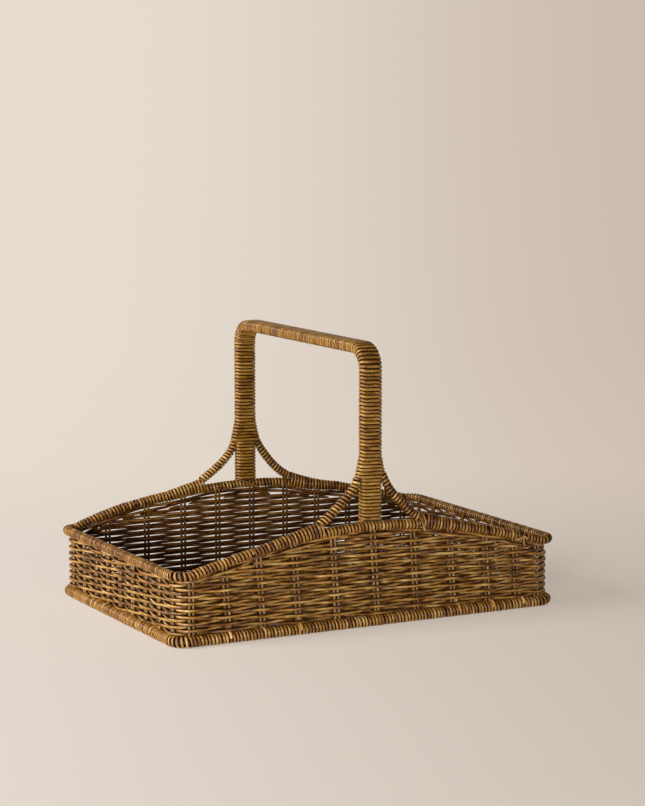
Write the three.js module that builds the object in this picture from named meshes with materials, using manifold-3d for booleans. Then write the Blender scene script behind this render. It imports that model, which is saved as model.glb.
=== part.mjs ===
// A rectangular open basket woven from synthetic cane over a steel wire frame, with a fixed arched handle
// across the middle. Millimetres, +Z up, X along the length, the near long side at -Y, standing on Z = 0.
import * as THREE from "three";
import Module from "manifold-3d";
import { mergeVertices } from "three/addons/utils/BufferGeometryUtils.js";

const wasm = await Module();
wasm.setup();

// Overall sizes
const basketLength = 410;
const basketWidth = 278;
const handleHeight = 266;
const rimCornerHeight = 65.6;
const rimRise = 30.5;
const rimCornerRadius = 14;

// Frame rods, and the strand that binds them
const rimRodSize = 3.6;
const baseRodSize = 5;
const bindingSize = 2.6;
const fit = 0.3;

// Woven strands and the doubled stakes that they pass
const strandSize = 2.72;
const rowGap = 0.38;
const stakeSize = 2.4;
const stakeSpread = 4;
const wallInset = 3;
const shortSideStakes = 7;
const cornerFootSize = 1;
const packingClearance = 0.6;

// Handle strap, its binding and its braces
const strapWidth = 15.4;
const strapThickness = 4.4;
const handleBendRadius = 15;
const collarBottom = 142;
const collarLoops = 6;
const collarPitch = 3.5;
const collarStrandSize = 2.6;
const collarClearance = 0.5;
const collarEntry = 4.3;
const collarFlare = 2;
const braceRodSize = 3.2;
const braceReach = 62;
const braceTail = 34;
const braceTopOverlap = 14;

// Woven floor on its cross rods
const floorStrandSize = 2.2;
const floorStrandGap = 0.2;
const floorBandStrands = 5;
const floorStickSize = 1.8;
const stickPairsPerSpan = 3;
const crossRodSize = 2.4;
const crossRodCount = 3;
const cutMargin = 5;

// Where the stakes stand along the long sides, as shares of the half length between the corner stakes.
// They were set by hand, so they aren't evenly spaced.
const nearStakeShares = [-0.81, -0.62, -0.42, -0.2, 0.03, 0.26, 0.48, 0.69, 0.87];
const farStakeShares = [-0.84, -0.61, -0.39, -0.18, 0.03, 0.24, 0.44, 0.64, 0.83];
const chamferShare = 0.6;
const braceTipShare = 0.4;
const braceTailTipShare = 0.55;
const braceTopShare = 0.7;
const braceBendShare = 0.22;
// The brace's route from the rim up to its tip: across as a share of braceReach, up as a share of the
// height from the landing on the rim to the foot of the collar.
const braceRouteShares = [
  [1, 0],
  [0.82, 0.08],
  [0.66, 0.215],
  [0.484, 0.42],
  [0.33, 0.695],
  [0.221, 0.94],
];

// Sizes that follow from those above
const rowPitch = strandSize + rowGap;
const strandRadius = strandSize / 2;
const rimRadius = rimRodSize / 2 + fit + bindingSize;
const baseRadius = baseRodSize / 2 + fit + bindingSize;
const rimHalfLength = basketLength / 2 - rimRadius;
const rimHalfWidth = basketWidth / 2 - rimRadius;
const baseHalfLength = basketLength / 2 - baseRadius;
const baseHalfWidth = basketWidth / 2 - baseRadius;
const baseCornerRadius = rimCornerRadius - (baseRadius - rimRadius);
const wallHalfLength = rimHalfLength - wallInset;
const wallHalfWidth = rimHalfWidth - wallInset;
const wallCornerRadius = rimCornerRadius - wallInset;
const pairHalf = (stakeSpread + stakeSize) / 2;
const cornerStakeX = wallHalfLength - wallCornerRadius - stakeSpread / 2;
const cornerStakeY = wallHalfWidth - wallCornerRadius - stakeSpread / 2;
const baseTop = baseRadius * 2;
const rimStraight = rimHalfLength - rimCornerRadius;
const postHalfWidth = strapWidth / 2 + fit + bindingSize;
const postHalfDepth = strapThickness / 2 + fit + bindingSize;
const barHeight = handleHeight - postHalfDepth;
const collarTop = collarBottom + collarLoops * collarPitch;

// Materials
const cane = new THREE.MeshStandardMaterial({ color: 0xa9793c, roughness: 0.5, metalness: 0 });
const paleCane = new THREE.MeshStandardMaterial({ color: 0xb98b62, roughness: 0.55, metalness: 0 });
const darkCane = new THREE.MeshStandardMaterial({ color: 0x8a5d2a, roughness: 0.5, metalness: 0 });
const steel = new THREE.MeshStandardMaterial({ color: 0x8d8f91, roughness: 0.4, metalness: 1 });

const basket = new THREE.Group();
const up = new THREE.Vector3(0, 0, 1);

function addPiece(name, geometry, material) {
  const mesh = new THREE.Mesh(geometry, material);
  mesh.name = name;
  basket.add(mesh);
  return mesh;
}

// Height of the rim's centre line: level on the short sides, and an arch along the long ones.
function rimHeight(x, along) {
  const share = Math.min(Math.abs(x) / rimStraight, 1);
  return along ? rimCornerHeight + rimRise * Math.cos((share * Math.PI) / 2) : rimCornerHeight;
}

// Lofts

function geometryFrom(vertices, faces) {
  const geometry = new THREE.BufferGeometry();
  const numbers = vertices.flatMap((vertex) => vertex.toArray());
  geometry.setAttribute("position", new THREE.Float32BufferAttribute(numbers, 3));
  geometry.setIndex(faces.flat());
  return geometry;
}

// Joins rings of equal size into a skin. The rings run anticlockwise seen from the end of the loft.
function skinFaces(faces, ringCount, size, start, closed, inward) {
  const last = closed ? ringCount : ringCount - 1;
  for (let ring = 0; ring < last; ring += 1) {
    const next = (ring + 1) % ringCount;
    for (let point = 0; point < size; point += 1) {
      const beside = (point + 1) % size;
      const a = start + ring * size + point;
      const b = start + ring * size + beside;
      const c = start + next * size + beside;
      const d = start + next * size + point;
      if (inward) {
        faces.push([a, c, b], [a, d, c]);
      } else {
        faces.push([a, b, c], [a, c, d]);
      }
    }
  }
}

// A solid loft through rings, either closed on itself or with flat ends.
function loft(rings, closed = false) {
  const size = rings[0].length;
  const faces = [];
  skinFaces(faces, rings.length, size, 0, closed, false);
  if (!closed) {
    const end = (rings.length - 1) * size;
    for (let point = 1; point < size - 1; point += 1) {
      faces.push([0, point + 1, point]);
      faces.push([end, end + point, end + point + 1]);
    }
  }
  return geometryFrom(rings.flat(), faces);
}

// A hollow loft with an outer and an inner skin, open at both ends.
function sleeve(outer, inner) {
  const size = outer[0].length;
  const count = outer.length;
  const faces = [];
  skinFaces(faces, count, size, 0, false, false);
  skinFaces(faces, count, size, count * size, false, true);
  for (const ring of [0, count - 1]) {
    for (let point = 0; point < size; point += 1) {
      const beside = (point + 1) % size;
      const a = ring * size + point;
      const b = ring * size + beside;
      const c = (count + ring) * size + beside;
      const d = (count + ring) * size + point;
      if (ring === 0) {
        faces.push([a, c, b], [a, d, c]);
      } else {
        faces.push([a, b, c], [a, c, d]);
      }
    }
  }
  return geometryFrom([...outer.flat(), ...inner.flat()], faces);
}

// A frame across a path: a direction to its side, level unless it is given, and the one square to both.
function frameAt(point, tangent, aside) {
  const along = tangent.clone().normalize();
  const side = aside ?? new THREE.Vector3().crossVectors(up, along).normalize();
  const rise = new THREE.Vector3().crossVectors(along, side).normalize();
  return { point, side, rise };
}

// Frames through a list of points, each square to the mean direction there.
function framesThrough(points, closed = false, aside = undefined) {
  const count = points.length;
  return points.map((point, i) => {
    const before = closed ? points[(i + count - 1) % count] : points[Math.max(i - 1, 0)];
    const after = closed ? points[(i + 1) % count] : points[Math.min(i + 1, count - 1)];
    return frameAt(point, new THREE.Vector3().subVectors(after, before), aside);
  });
}

function ringAcross(frame, outline) {
  return outline.map(([across, over]) =>
    frame.point.clone().addScaledVector(frame.side, across).addScaledVector(frame.rise, over),
  );
}

// Outlines across a path, anticlockwise. A strand's corners lie at its radius, and a rod's flats do.
function strandOutline(radius, sides, turn = 0) {
  return Array.from({ length: sides }, (_, i) => {
    const angle = ((i + turn) * 2 * Math.PI) / sides;
    return [radius * Math.cos(angle), radius * Math.sin(angle)];
  });
}

function roundOutline(radius, sides) {
  return strandOutline(radius / Math.cos(Math.PI / sides), sides, 1 / 2);
}

// A flat bar's outline with chamfered edges.
function barOutline(halfWidth, halfThickness) {
  const chamfer = halfThickness * chamferShare;
  const w = halfWidth;
  const t = halfThickness;
  return [
    [w, t - chamfer],
    [w - chamfer, t],
    [-w + chamfer, t],
    [-w, t - chamfer],
    [-w, -t + chamfer],
    [-w + chamfer, -t],
    [w - chamfer, -t],
    [w, -t + chamfer],
  ];
}

// Rings and bindings of the rim and the base

// Points round a rounded rectangle, from the middle of the right-hand short side and anticlockwise.
function ringPoints(halfLength, halfWidth, radius, heightAt, arcSteps, longSteps) {
  const points = [];
  const corners = [
    [1, 1, 0],
    [-1, 1, 1],
    [-1, -1, 2],
    [1, -1, 3],
  ];
  for (const [sx, sy, quarter] of corners) {
    for (let step = 0; step <= arcSteps; step += 1) {
      const angle = ((quarter + step / arcSteps) * Math.PI) / 2;
      const x = sx * (halfLength - radius) + radius * Math.cos(angle);
      const y = sy * (halfWidth - radius) + radius * Math.sin(angle);
      points.push(new THREE.Vector3(x, y, heightAt(x, false)));
    }
    if (quarter % 2 === 0) {
      for (let step = 1; step < longSteps; step += 1) {
        const x = sx * (halfLength - radius) * (1 - (2 * step) / longSteps);
        points.push(new THREE.Vector3(x, sy * halfWidth, heightAt(x, true)));
      }
    }
  }
  return points;
}

const rimArcSteps = 4;
const rimLongSteps = 12;
const roundSides = 8;

function addBoundRing({ name, halfLength, halfWidth, cornerRadius, heightAt, longSteps, rodSize, radius }) {
  const points = ringPoints(halfLength, halfWidth, cornerRadius, heightAt, rimArcSteps, longSteps);
  const rodFrames = framesThrough(points, true);
  const rodOutline = roundOutline(rodSize / 2, roundSides);
  addPiece(`${name}_frame_rod`, loft(rodFrames.map((frame) => ringAcross(frame, rodOutline)), true), steel);

  // The binding starts and ends in the middle of the right-hand short side.
  const start = new THREE.Vector3(halfLength, fit / 2, heightAt(halfLength, false));
  const end = new THREE.Vector3(halfLength, -fit / 2, heightAt(halfLength, false));
  const frames = framesThrough([start, ...points, end]);
  const outer = roundOutline(radius, roundSides);
  const inner = roundOutline(rodSize / 2 + fit, roundSides);
  const geometry = sleeve(
    frames.map((frame) => ringAcross(frame, outer)),
    frames.map((frame) => ringAcross(frame, inner)),
  );
  addPiece(`${name}_binding`, geometry, cane);
}

addBoundRing({
  name: "rim",
  halfLength: rimHalfLength,
  halfWidth: rimHalfWidth,
  cornerRadius: rimCornerRadius,
  heightAt: rimHeight,
  longSteps: rimLongSteps,
  rodSize: rimRodSize,
  radius: rimRadius,
});
addBoundRing({
  name: "base",
  halfLength: baseHalfLength,
  halfWidth: baseHalfWidth,
  cornerRadius: baseCornerRadius,
  heightAt: () => baseRadius,
  longSteps: 1,
  rodSize: baseRodSize,
  radius: baseRadius,
});

// Stakes

const nearStakes = nearStakeShares.map((share) => share * cornerStakeX);
const farStakes = farStakeShares.map((share) => share * cornerStakeX);
const shortGap = (cornerStakeY * 2) / (shortSideStakes + 1);
const sideStakes = Array.from({ length: shortSideStakes }, (_, i) => (i + 1) * shortGap - cornerStakeY);
const stakeFoot = baseTop + fit;

function stakeTop(x, along) {
  return rimHeight(Math.abs(x) + pairHalf, along) - rimRadius - fit;
}

// One cane bent double: two legs side by side on a rounded foot that sits on the base binding.
function stakeGeometry(top) {
  const outerX = pairHalf;
  const innerX = (stakeSpread - stakeSize) / 2;
  const bend = (stakeSpread * Math.SQRT1_2) / 2;
  const shape = new THREE.Shape();
  shape.moveTo(outerX, top);
  shape.lineTo(innerX, top);
  shape.lineTo(innerX, stakeFoot + pairHalf);
  shape.lineTo(0, stakeFoot + stakeSize);
  shape.lineTo(-innerX, stakeFoot + pairHalf);
  shape.lineTo(-innerX, top);
  shape.lineTo(-outerX, top);
  shape.lineTo(-outerX, stakeFoot + pairHalf);
  shape.lineTo(-bend, stakeFoot);
  shape.lineTo(bend, stakeFoot);
  shape.lineTo(outerX, stakeFoot + pairHalf);
  shape.closePath();
  const geometry = new THREE.ExtrudeGeometry(shape, { depth: stakeSize, bevelEnabled: false });
  geometry.translate(0, 0, -stakeSize / 2);
  geometry.rotateX(Math.PI / 2);
  return geometry;
}

function addStake(name, x, y, turn, along) {
  const mesh = addPiece(name, stakeGeometry(stakeTop(x, along)), paleCane);
  mesh.position.set(x, y, 0);
  mesh.rotation.z = turn;
}

nearStakes.forEach((x, i) => addStake(`near_stake_${i + 1}`, x, -wallHalfWidth, 0, true));
farStakes.forEach((x, i) => addStake(`far_stake_${i + 1}`, x, wallHalfWidth, 0, true));
sideStakes.forEach((y, i) => addStake(`left_stake_${i + 1}`, -wallHalfLength, y, Math.PI / 2, false));
sideStakes.forEach((y, i) => addStake(`right_stake_${i + 1}`, wallHalfLength, y, Math.PI / 2, false));

// Joining with manifold

function toManifold(geometry) {
  const bare = geometry.clone();
  bare.deleteAttribute("normal");
  bare.deleteAttribute("uv");
  const merged = mergeVertices(bare);
  const mesh = new wasm.Mesh({
    numProp: 3,
    vertProperties: new Float32Array(merged.attributes.position.array),
    triVerts: new Uint32Array(merged.index.array),
  });
  return new wasm.Manifold(mesh);
}

function fromManifold(solid) {
  const mesh = solid.getMesh();
  const geometry = new THREE.BufferGeometry();
  geometry.setAttribute("position", new THREE.Float32BufferAttribute(Array.from(mesh.vertProperties), 3));
  geometry.setIndex(Array.from(mesh.triVerts));
  return geometry;
}

// A corner stake: four legs, two on each side of the corner, on one thin foot that bends round it.
const cornerArcSteps = 3;

function boxAt(width, depth, bottom, top, x, y) {
  const geometry = new THREE.BoxGeometry(width, depth, top - bottom);
  geometry.translate(x, y, (bottom + top) / 2);
  return geometry;
}

function cornerStakeGeometry() {
  const top = rimCornerHeight - rimRadius - fit;
  const legReach = stakeSpread / 2;
  const footHeight = stakeFoot + cornerFootSize / 2;
  const footEndX = cornerStakeX - pairHalf;
  const footEndY = cornerStakeY - pairHalf;
  const points = [new THREE.Vector3(footEndX, wallHalfWidth, footHeight)];
  for (let step = 0; step <= cornerArcSteps; step += 1) {
    const angle = ((1 - step / cornerArcSteps) * Math.PI) / 2;
    const x = wallHalfLength - wallCornerRadius + wallCornerRadius * Math.cos(angle);
    const y = wallHalfWidth - wallCornerRadius + wallCornerRadius * Math.sin(angle);
    points.push(new THREE.Vector3(x, y, footHeight));
  }
  points.push(new THREE.Vector3(wallHalfLength, footEndY, footHeight));
  const half = stakeSize / 2;
  const flat = cornerFootSize / 2;
  const section = [
    [half, -flat],
    [half, flat],
    [-half, flat],
    [-half, -flat],
  ];
  let solid = toManifold(loft(framesThrough(points).map((frame) => ringAcross(frame, section))));
  for (const side of [-legReach, legReach]) {
    const onLong = boxAt(stakeSize, stakeSize, stakeFoot, top, cornerStakeX + side, wallHalfWidth);
    const onShort = boxAt(stakeSize, stakeSize, stakeFoot, top, wallHalfLength, cornerStakeY + side);
    solid = solid.add(toManifold(onLong)).add(toManifold(onShort));
  }
  return solid;
}

const cornerStake = cornerStakeGeometry();
const cornerTurns = [
  ["far_right_corner_stake", [1, 1, 1]],
  ["far_left_corner_stake", [-1, 1, 1]],
  ["near_left_corner_stake", [-1, -1, 1]],
  ["near_right_corner_stake", [1, -1, 1]],
];
for (const [name, mirror] of cornerTurns) {
  addPiece(name, fromManifold(cornerStake.scale(mirror)), paleCane);
}

// Weaving

// The stations that a strand passes on its way round: where it is, which way is outwards, which stake
// it passes, and how far along the wall's centre line it lies.
function walkRound() {
  const stations = [];
  const place = (x, y, nx, ny, stake) => stations.push({ x, y, nx, ny, stake });
  let stake = 0;
  const passPair = (x, y, nx, ny, alongX, alongY) => {
    place(x - alongX * pairHalf, y - alongY * pairHalf, nx, ny, stake);
    place(x + alongX * pairHalf, y + alongY * pairHalf, nx, ny, stake);
    stake += 1;
  };
  const passStake = (x, y, nx, ny) => {
    place(x, y, nx, ny, stake);
    stake += 1;
  };
  const passCorner = (sx, sy) => {
    const reach = wallCornerRadius * Math.SQRT1_2;
    const x = sx * (wallHalfLength - wallCornerRadius + reach);
    const y = sy * (wallHalfWidth - wallCornerRadius + reach);
    place(x, y, sx * Math.SQRT1_2, sy * Math.SQRT1_2, null);
  };
  const upper = sideStakes.filter((y) => y >= 0);
  const lower = sideStakes.filter((y) => y < 0);
  const downwards = [...sideStakes].reverse();
  upper.forEach((y) => passStake(wallHalfLength, y, 1, 0));
  passPair(wallHalfLength, cornerStakeY, 1, 0, 0, 1);
  passCorner(1, 1);
  passPair(cornerStakeX, wallHalfWidth, 0, 1, -1, 0);
  [...farStakes].reverse().forEach((x) => passStake(x, wallHalfWidth, 0, 1));
  passPair(-cornerStakeX, wallHalfWidth, 0, 1, -1, 0);
  passCorner(-1, 1);
  passPair(-wallHalfLength, cornerStakeY, -1, 0, 0, -1);
  downwards.forEach((y) => passStake(-wallHalfLength, y, -1, 0));
  passPair(-wallHalfLength, -cornerStakeY, -1, 0, 0, -1);
  passCorner(-1, -1);
  passPair(-cornerStakeX, -wallHalfWidth, 0, -1, 1, 0);
  nearStakes.forEach((x) => passStake(x, -wallHalfWidth, 0, -1));
  passPair(cornerStakeX, -wallHalfWidth, 0, -1, 1, 0);
  passCorner(1, -1);
  passPair(wallHalfLength, -cornerStakeY, 1, 0, 0, 1);
  lower.forEach((y) => passStake(wallHalfLength, y, 1, 0));
  return stations;
}

const stations = walkRound();
const stationCount = stations.length;
const middleStake = sideStakes[Math.floor(shortSideStakes / 2)];
const halfWay = stations.findIndex((station) => station.nx === -1 && station.y === middleStake);
const lengths = [0];
for (let i = 1; i <= stationCount; i += 1) {
  const a = stations[i - 1];
  const b = stations[i % stationCount];
  lengths.push(lengths[i - 1] + Math.hypot(b.x - a.x, b.y - a.y));
}
const roundLength = lengths[stationCount];

// How far a strand swings out at a stake, so that it clears both canes on its slant to the next one.
const clearOfStake = stakeSize / 2 + fit + strandRadius;
for (const station of stations) {
  station.swing = station.stake === null ? 0 : clearOfStake;
}
const swingRounds = 4;
for (let round = 0; round < swingRounds; round += 1) {
  stations.forEach((station, i) => {
    const before = stations[(i + stationCount - 1) % stationCount];
    const after = stations[(i + 1) % stationCount];
    const single = station.stake !== null && before.stake !== station.stake && after.stake !== station.stake;
    if (single) {
      const needs = [before, after].map((other) => {
        const gap = Math.hypot(other.x - station.x, other.y - station.y);
        return (clearOfStake + (pairHalf * other.swing) / gap) / (1 - pairHalf / gap);
      });
      station.swing = Math.max(...needs);
    }
  });
}

const firstRowHeight = stakeFoot + cornerFootSize + fit + strandRadius;
const topRowHeight = rimCornerHeight - rimRadius - fit - strandRadius;
const rowCount = Math.floor((topRowHeight - firstRowHeight) / rowPitch) + 1;
const rowsPerTurn = 2;
const turns = (rowCount - 1) / rowsPerTurn;

function archRise(station) {
  return rimHeight(station.x, station.ny !== 0 && station.nx === 0) - rimCornerHeight;
}

// A point of a strand at a station. Outwards is 1 or -1, and height is its own.
function weavePoint(station, outwards, height) {
  const offset = station.swing * outwards;
  return new THREE.Vector3(station.x + station.nx * offset, station.y + station.ny * offset, height);
}

function passSide(station, phase) {
  return (station.stake + phase) % 2 === 0 ? 1 : -1;
}

const weaverSides = 4;

function strandGeometry(points, radius, sides) {
  const outline = strandOutline(radius, sides);
  return loft(framesThrough(points).map((frame) => ringAcross(frame, outline)));
}

// A weaver goes round and round, climbing two rows a turn, and the other one fills the rows between.
// Its last turn follows the arch of the rim along both long sides.
function weaverGeometry(firstStation, phase) {
  const lastStation = Math.round(firstStation + turns * stationCount);
  const archFrom = lastStation - stationCount;
  const points = [];
  for (let i = firstStation; i <= lastStation; i += 1) {
    const turn = Math.floor(i / stationCount);
    const station = stations[i % stationCount];
    const distance = turn * roundLength + lengths[i % stationCount];
    const climbed = distance - lengths[firstStation];
    const climb = (climbed * rowPitch * rowsPerTurn) / roundLength;
    const arch = i > archFrom ? archRise(station) : 0;
    const outwards = station.stake === null ? 0 : passSide(station, phase);
    points.push(weavePoint(station, outwards, firstRowHeight + climb + arch));
  }
  return strandGeometry(points, strandRadius, weaverSides);
}

addPiece("first_weaver", weaverGeometry(0, 0), cane);
addPiece("second_weaver", weaverGeometry(halfWay, 1), darkCane);

// The packing strand fills the arch of a long side: it turns back round a stake at the end of each row.
const turnReach = pairHalf + strandSize + fit;

function packingRows(wall) {
  const along = wall.map((station) => Math.abs(station.x) + turnReach + strandRadius);
  const rows = [];
  const room = (index, row) => rimHeight(along[index], true) - rimCornerHeight
    >= row * rowPitch + packingClearance;
  const middle = Math.floor(wall.length / 2);
  for (let row = 1; room(middle, row); row += 1) {
    let first = 0;
    while (first < middle && !room(first, row)) {
      first += 1;
    }
    let last = wall.length - 1;
    while (last > middle && !room(last, row)) {
      last -= 1;
    }
    rows.push([first, last]);
  }
  // Two rows that meet in a turn share the stake that it goes round.
  for (let row = 0; row + 1 < rows.length; row += 1) {
    const end = row % 2 === 0 ? 1 : 0;
    rows[row][end] = rows[row + 1][end];
  }
  return rows.filter(([first, last]) => last > first);
}

function packingGeometry(wall, levelAt) {
  const direction = Math.sign(wall[wall.length - 1].x - wall[0].x);
  const rows = packingRows(wall);
  const points = [];
  rows.forEach(([first, last], row) => {
    const forward = row % 2 === 0;
    const order = [];
    for (let i = first; i <= last; i += 1) {
      order.push(i);
    }
    if (!forward) {
      order.reverse();
    }
    const heightHere = (station) => levelAt(station) + (row + 1) * rowPitch;
    const away = forward ? -direction : direction;
    if (row > 0) {
      const station = wall[order[0]];
      const middle = heightHere(station) - rowPitch / 2;
      const x = station.x + away * turnReach;
      const outwards = passSide(station, row + 1);
      for (const half of [-1, 1]) {
        const y = station.y + (half * outwards * station.ny * stakeSize) / 2;
        points.push(new THREE.Vector3(x, y, middle + (half * rowPitch) / 4));
      }
    }
    for (const i of order) {
      const station = wall[i];
      const point = weavePoint(station, passSide(station, row + 1), heightHere(station));
      const beside = point.clone();
      if (i === order[0] && row > 0) {
        beside.x += away * pairHalf;
        points.push(beside);
      }
      points.push(point);
      if (i === order[order.length - 1] && row + 1 < rows.length) {
        beside.x -= away * pairHalf;
        points.push(beside);
      }
    }
  });
  return strandGeometry(points, strandRadius, weaverSides);
}

// Height of the highest level row, on whichever long side a station lies.
function levelRow(station) {
  const share = (lengths[stations.indexOf(station)] / roundLength) % (1 / 2);
  const rowsBelow = rowCount - 2 * rowsPerTurn;
  return firstRowHeight + rowPitch * (rowsBelow + rowsPerTurn * share);
}

const nearWall = stations.filter((station) => station.ny === -1 && nearStakes.includes(station.x));
const farWall = stations.filter((station) => station.ny === 1 && farStakes.includes(station.x));
addPiece("near_packing_strand", packingGeometry(nearWall, levelRow), darkCane);
addPiece("far_packing_strand", packingGeometry(farWall, levelRow), cane);

// Handle: a flat steel strap bent into an arch from rim to rim, and bound between its two collars

const rimMiddle = rimHeight(0, true);
const xAxis = new THREE.Vector3(1, 0, 0);
const yAxis = new THREE.Vector3(0, 1, 0);
const bendSteps = 4;

// The arch from a foot height, up, across at barHeight and down again.
function archPoints(foot) {
  const points = [new THREE.Vector3(0, -rimHalfWidth, foot)];
  for (const [side, quarter] of [[-1, 2], [1, 1]]) {
    for (let step = 0; step <= bendSteps; step += 1) {
      const angle = ((quarter - step / bendSteps) * Math.PI) / 2;
      const y = side * (rimHalfWidth - handleBendRadius) + handleBendRadius * Math.cos(angle);
      const z = barHeight - handleBendRadius + handleBendRadius * Math.sin(angle);
      points.push(new THREE.Vector3(0, y, z));
    }
  }
  points.push(new THREE.Vector3(0, rimHalfWidth, foot));
  return points;
}

// Square ends: the first and last frames follow the path's own ends.
function archRings(foot, halfWidth, halfThickness) {
  const outline = barOutline(halfWidth, halfThickness);
  return framesThrough(archPoints(foot), false, xAxis).map((frame) => ringAcross(frame, outline));
}

const strapFoot = rimMiddle + rimRodSize / 2 + fit;
const bindingFoot = collarTop + fit;
addPiece("handle_strap", loft(archRings(strapFoot, strapWidth / 2, strapThickness / 2)), steel);
const handleSkins = [
  archRings(bindingFoot, postHalfWidth, postHalfDepth),
  archRings(bindingFoot, strapWidth / 2 + fit, strapThickness / 2 + fit),
];
addPiece("handle_binding", sleeve(...handleSkins), cane);

// The strap's two feet stand on the rim's rod, through slots in the rim's binding.
const rimBinding = basket.children.find((mesh) => mesh.name === "rim_binding");
let slotted = toManifold(rimBinding.geometry);
for (const side of [-1, 1]) {
  const bottom = rimMiddle + rimRodSize / 2;
  const top = bottom + bindingSize + cutMargin;
  const slot = boxAt(strapWidth + 2 * fit, strapThickness + 2 * fit, bottom, top, 0, side * rimHalfWidth);
  slotted = slotted.subtract(toManifold(slot));
}
rimBinding.geometry = fromManifold(slotted);

// Braces: each runs from beside a post, under the collar, out and down to a tail on top of the rim

const braceRadius = braceRodSize / 2 + fit + bindingSize;
const braceTailSteps = 3;

function braceRoute() {
  const landing = rimHeight(braceReach, true) + rimRadius + fit + braceRadius;
  const points = [];
  for (let step = 0; step < braceTailSteps; step += 1) {
    const left = 1 - step / braceTailSteps;
    const size = 1 + (braceTailTipShare - 1) * left;
    const x = braceReach + braceTail * left;
    const z = rimHeight(x, true) + rimRadius + fit + braceRadius * size;
    const rodSize = 1 + (braceTipShare - 1) * left;
    points.push({ x, z, size, rodSize });
  }
  for (const [across, rise] of braceRouteShares) {
    const last = across === braceRouteShares[braceRouteShares.length - 1][0];
    const z = landing + (collarBottom - landing) * rise;
    points.push({ x: braceReach * across, z, size: last ? braceTopShare : 1, rodSize: 1 });
  }
  return points;
}

// Under the collar the brace's rod is bare. It bends up beside the strap and narrows to a tip.
function braceTop() {
  return [[braceBendShare, 1], [1, braceTipShare]].map(([share, rodSize]) => {
    const x = strapWidth / 2 + fit + (braceRodSize / 2) * rodSize;
    return { x, z: collarBottom + braceTopOverlap * share, rodSize };
  });
}

const outwardRoute = braceRoute();
const towardsTop = braceTop();

function braceRings(route, side, wall, radiusOf) {
  const points = route.map(({ x, z }) => new THREE.Vector3(side * x, wall, z));
  return framesThrough(points, false, yAxis).map((frame, i) =>
    ringAcross(frame, roundOutline(radiusOf(route[i]), roundSides)),
  );
}

for (const [name, side, wallSide] of [
  ["near_left", -1, -1],
  ["near_right", 1, -1],
  ["far_left", -1, 1],
  ["far_right", 1, 1],
]) {
  const wall = wallSide * rimHalfWidth;
  const rodRadius = ({ rodSize }) => (braceRodSize / 2) * rodSize;
  const rod = braceRings([...outwardRoute, ...towardsTop], side, wall, rodRadius);
  const outer = braceRings(outwardRoute, side, wall, ({ size }) => braceRadius * size);
  const inner = braceRings(outwardRoute, side, wall, (stop) => rodRadius(stop) + fit);
  addPiece(`${name}_brace_rod`, loft(rod), steel);
  addPiece(`${name}_brace_binding`, sleeve(outer, inner), cane);
}

// Collars: a strand wound round the strap from the rim up, and in its last turns round the braces' tops too

const collarSteps = 12;
const collarSides = 5;
const collarSquareness = 4;
const collarRadius = collarStrandSize / 2;
const collarFoot = rimMiddle + rimRadius + fit;
const postTurns = Math.ceil((collarBottom - collarEntry - collarFoot) / collarPitch);
const collarTurns = postTurns + collarLoops;
const lastInside = postTurns - 1 / 4;
const firstOutside = postTurns + 1 / 4;
const { clamp, mapLinear } = THREE.MathUtils;

// A value from -1 to 1 pushed outwards, which squares a circle's corners.
function squared(value) {
  return Math.sign(value) * Math.abs(value) ** (2 / collarSquareness);
}

// The strand's height after some turns. It climbs faster in the half turn that takes it from between the
// strap and the braces' rods to outside the rods.
function collarHeight(turnCount) {
  const bottom = collarFoot + collarRadius;
  const inside = collarBottom - collarEntry + collarRadius;
  const outside = collarBottom + collarRadius;
  const top = collarTop - collarRadius;
  if (turnCount < lastInside) {
    return mapLinear(turnCount, 0, lastInside, bottom, inside);
  }
  if (turnCount < firstOutside) {
    return mapLinear(turnCount, lastInside, firstOutside, inside, outside);
  }
  return mapLinear(turnCount, firstOutside, collarTurns, outside, top);
}

// How far out in X the strand's middle lies: close to the strap at first, then widened to pass round the
// braces' tops, and narrowing again as it climbs.
function collarReach(turnCount) {
  const close = strapWidth / 2;
  const widest = close + fit + braceRodSize + collarFlare;
  const widened = clamp(mapLinear(turnCount, lastInside, firstOutside, 0, 1), 0, 1);
  const narrowed = clamp(mapLinear(turnCount, firstOutside, collarTurns, 0, 1), 0, 1);
  return close + (widest - close) * widened * (1 - narrowed) + collarClearance + collarRadius;
}

// The middle of the strand after some turns. Both its ends lie straight across the inner face of the strap.
function collarPoint(turnCount, wallSide) {
  const angle = (turnCount * 2 - wallSide / 2) * Math.PI;
  const x = collarReach(turnCount) * squared(Math.cos(angle));
  const reachY = strapThickness / 2 + collarClearance + collarRadius;
  const y = wallSide * rimHalfWidth + reachY * squared(Math.sin(angle));
  return new THREE.Vector3(x, y, collarHeight(turnCount));
}

// The least distance between two stretches of a winding that are over half a turn apart.
function leastSelfGap(points, perTurn, size) {
  let least = Infinity;
  for (let i = 0; i < points.length; i += 1) {
    for (let k = i + perTurn / 2; k < points.length; k += 1) {
      least = Math.min(least, points[i].distanceTo(points[k]) - size);
    }
  }
  return least;
}

for (const [name, wallSide] of [["near", -1], ["far", 1]]) {
  const points = [];
  for (let step = 0; step <= collarTurns * collarSteps; step += 1) {
    points.push(collarPoint(step / collarSteps, wallSide));
  }
  const gap = leastSelfGap(points, collarSteps, collarStrandSize);
  console.log(`${name} collar: ${collarTurns} turns, least gap to itself ${gap.toFixed(2)} mm`);
  addPiece(`${name}_collar`, strandGeometry(points, collarRadius, collarSides), paleCane);
}

// Floor: bands of strands pass over and under pairs of sticks, on rods that cross the base

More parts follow.
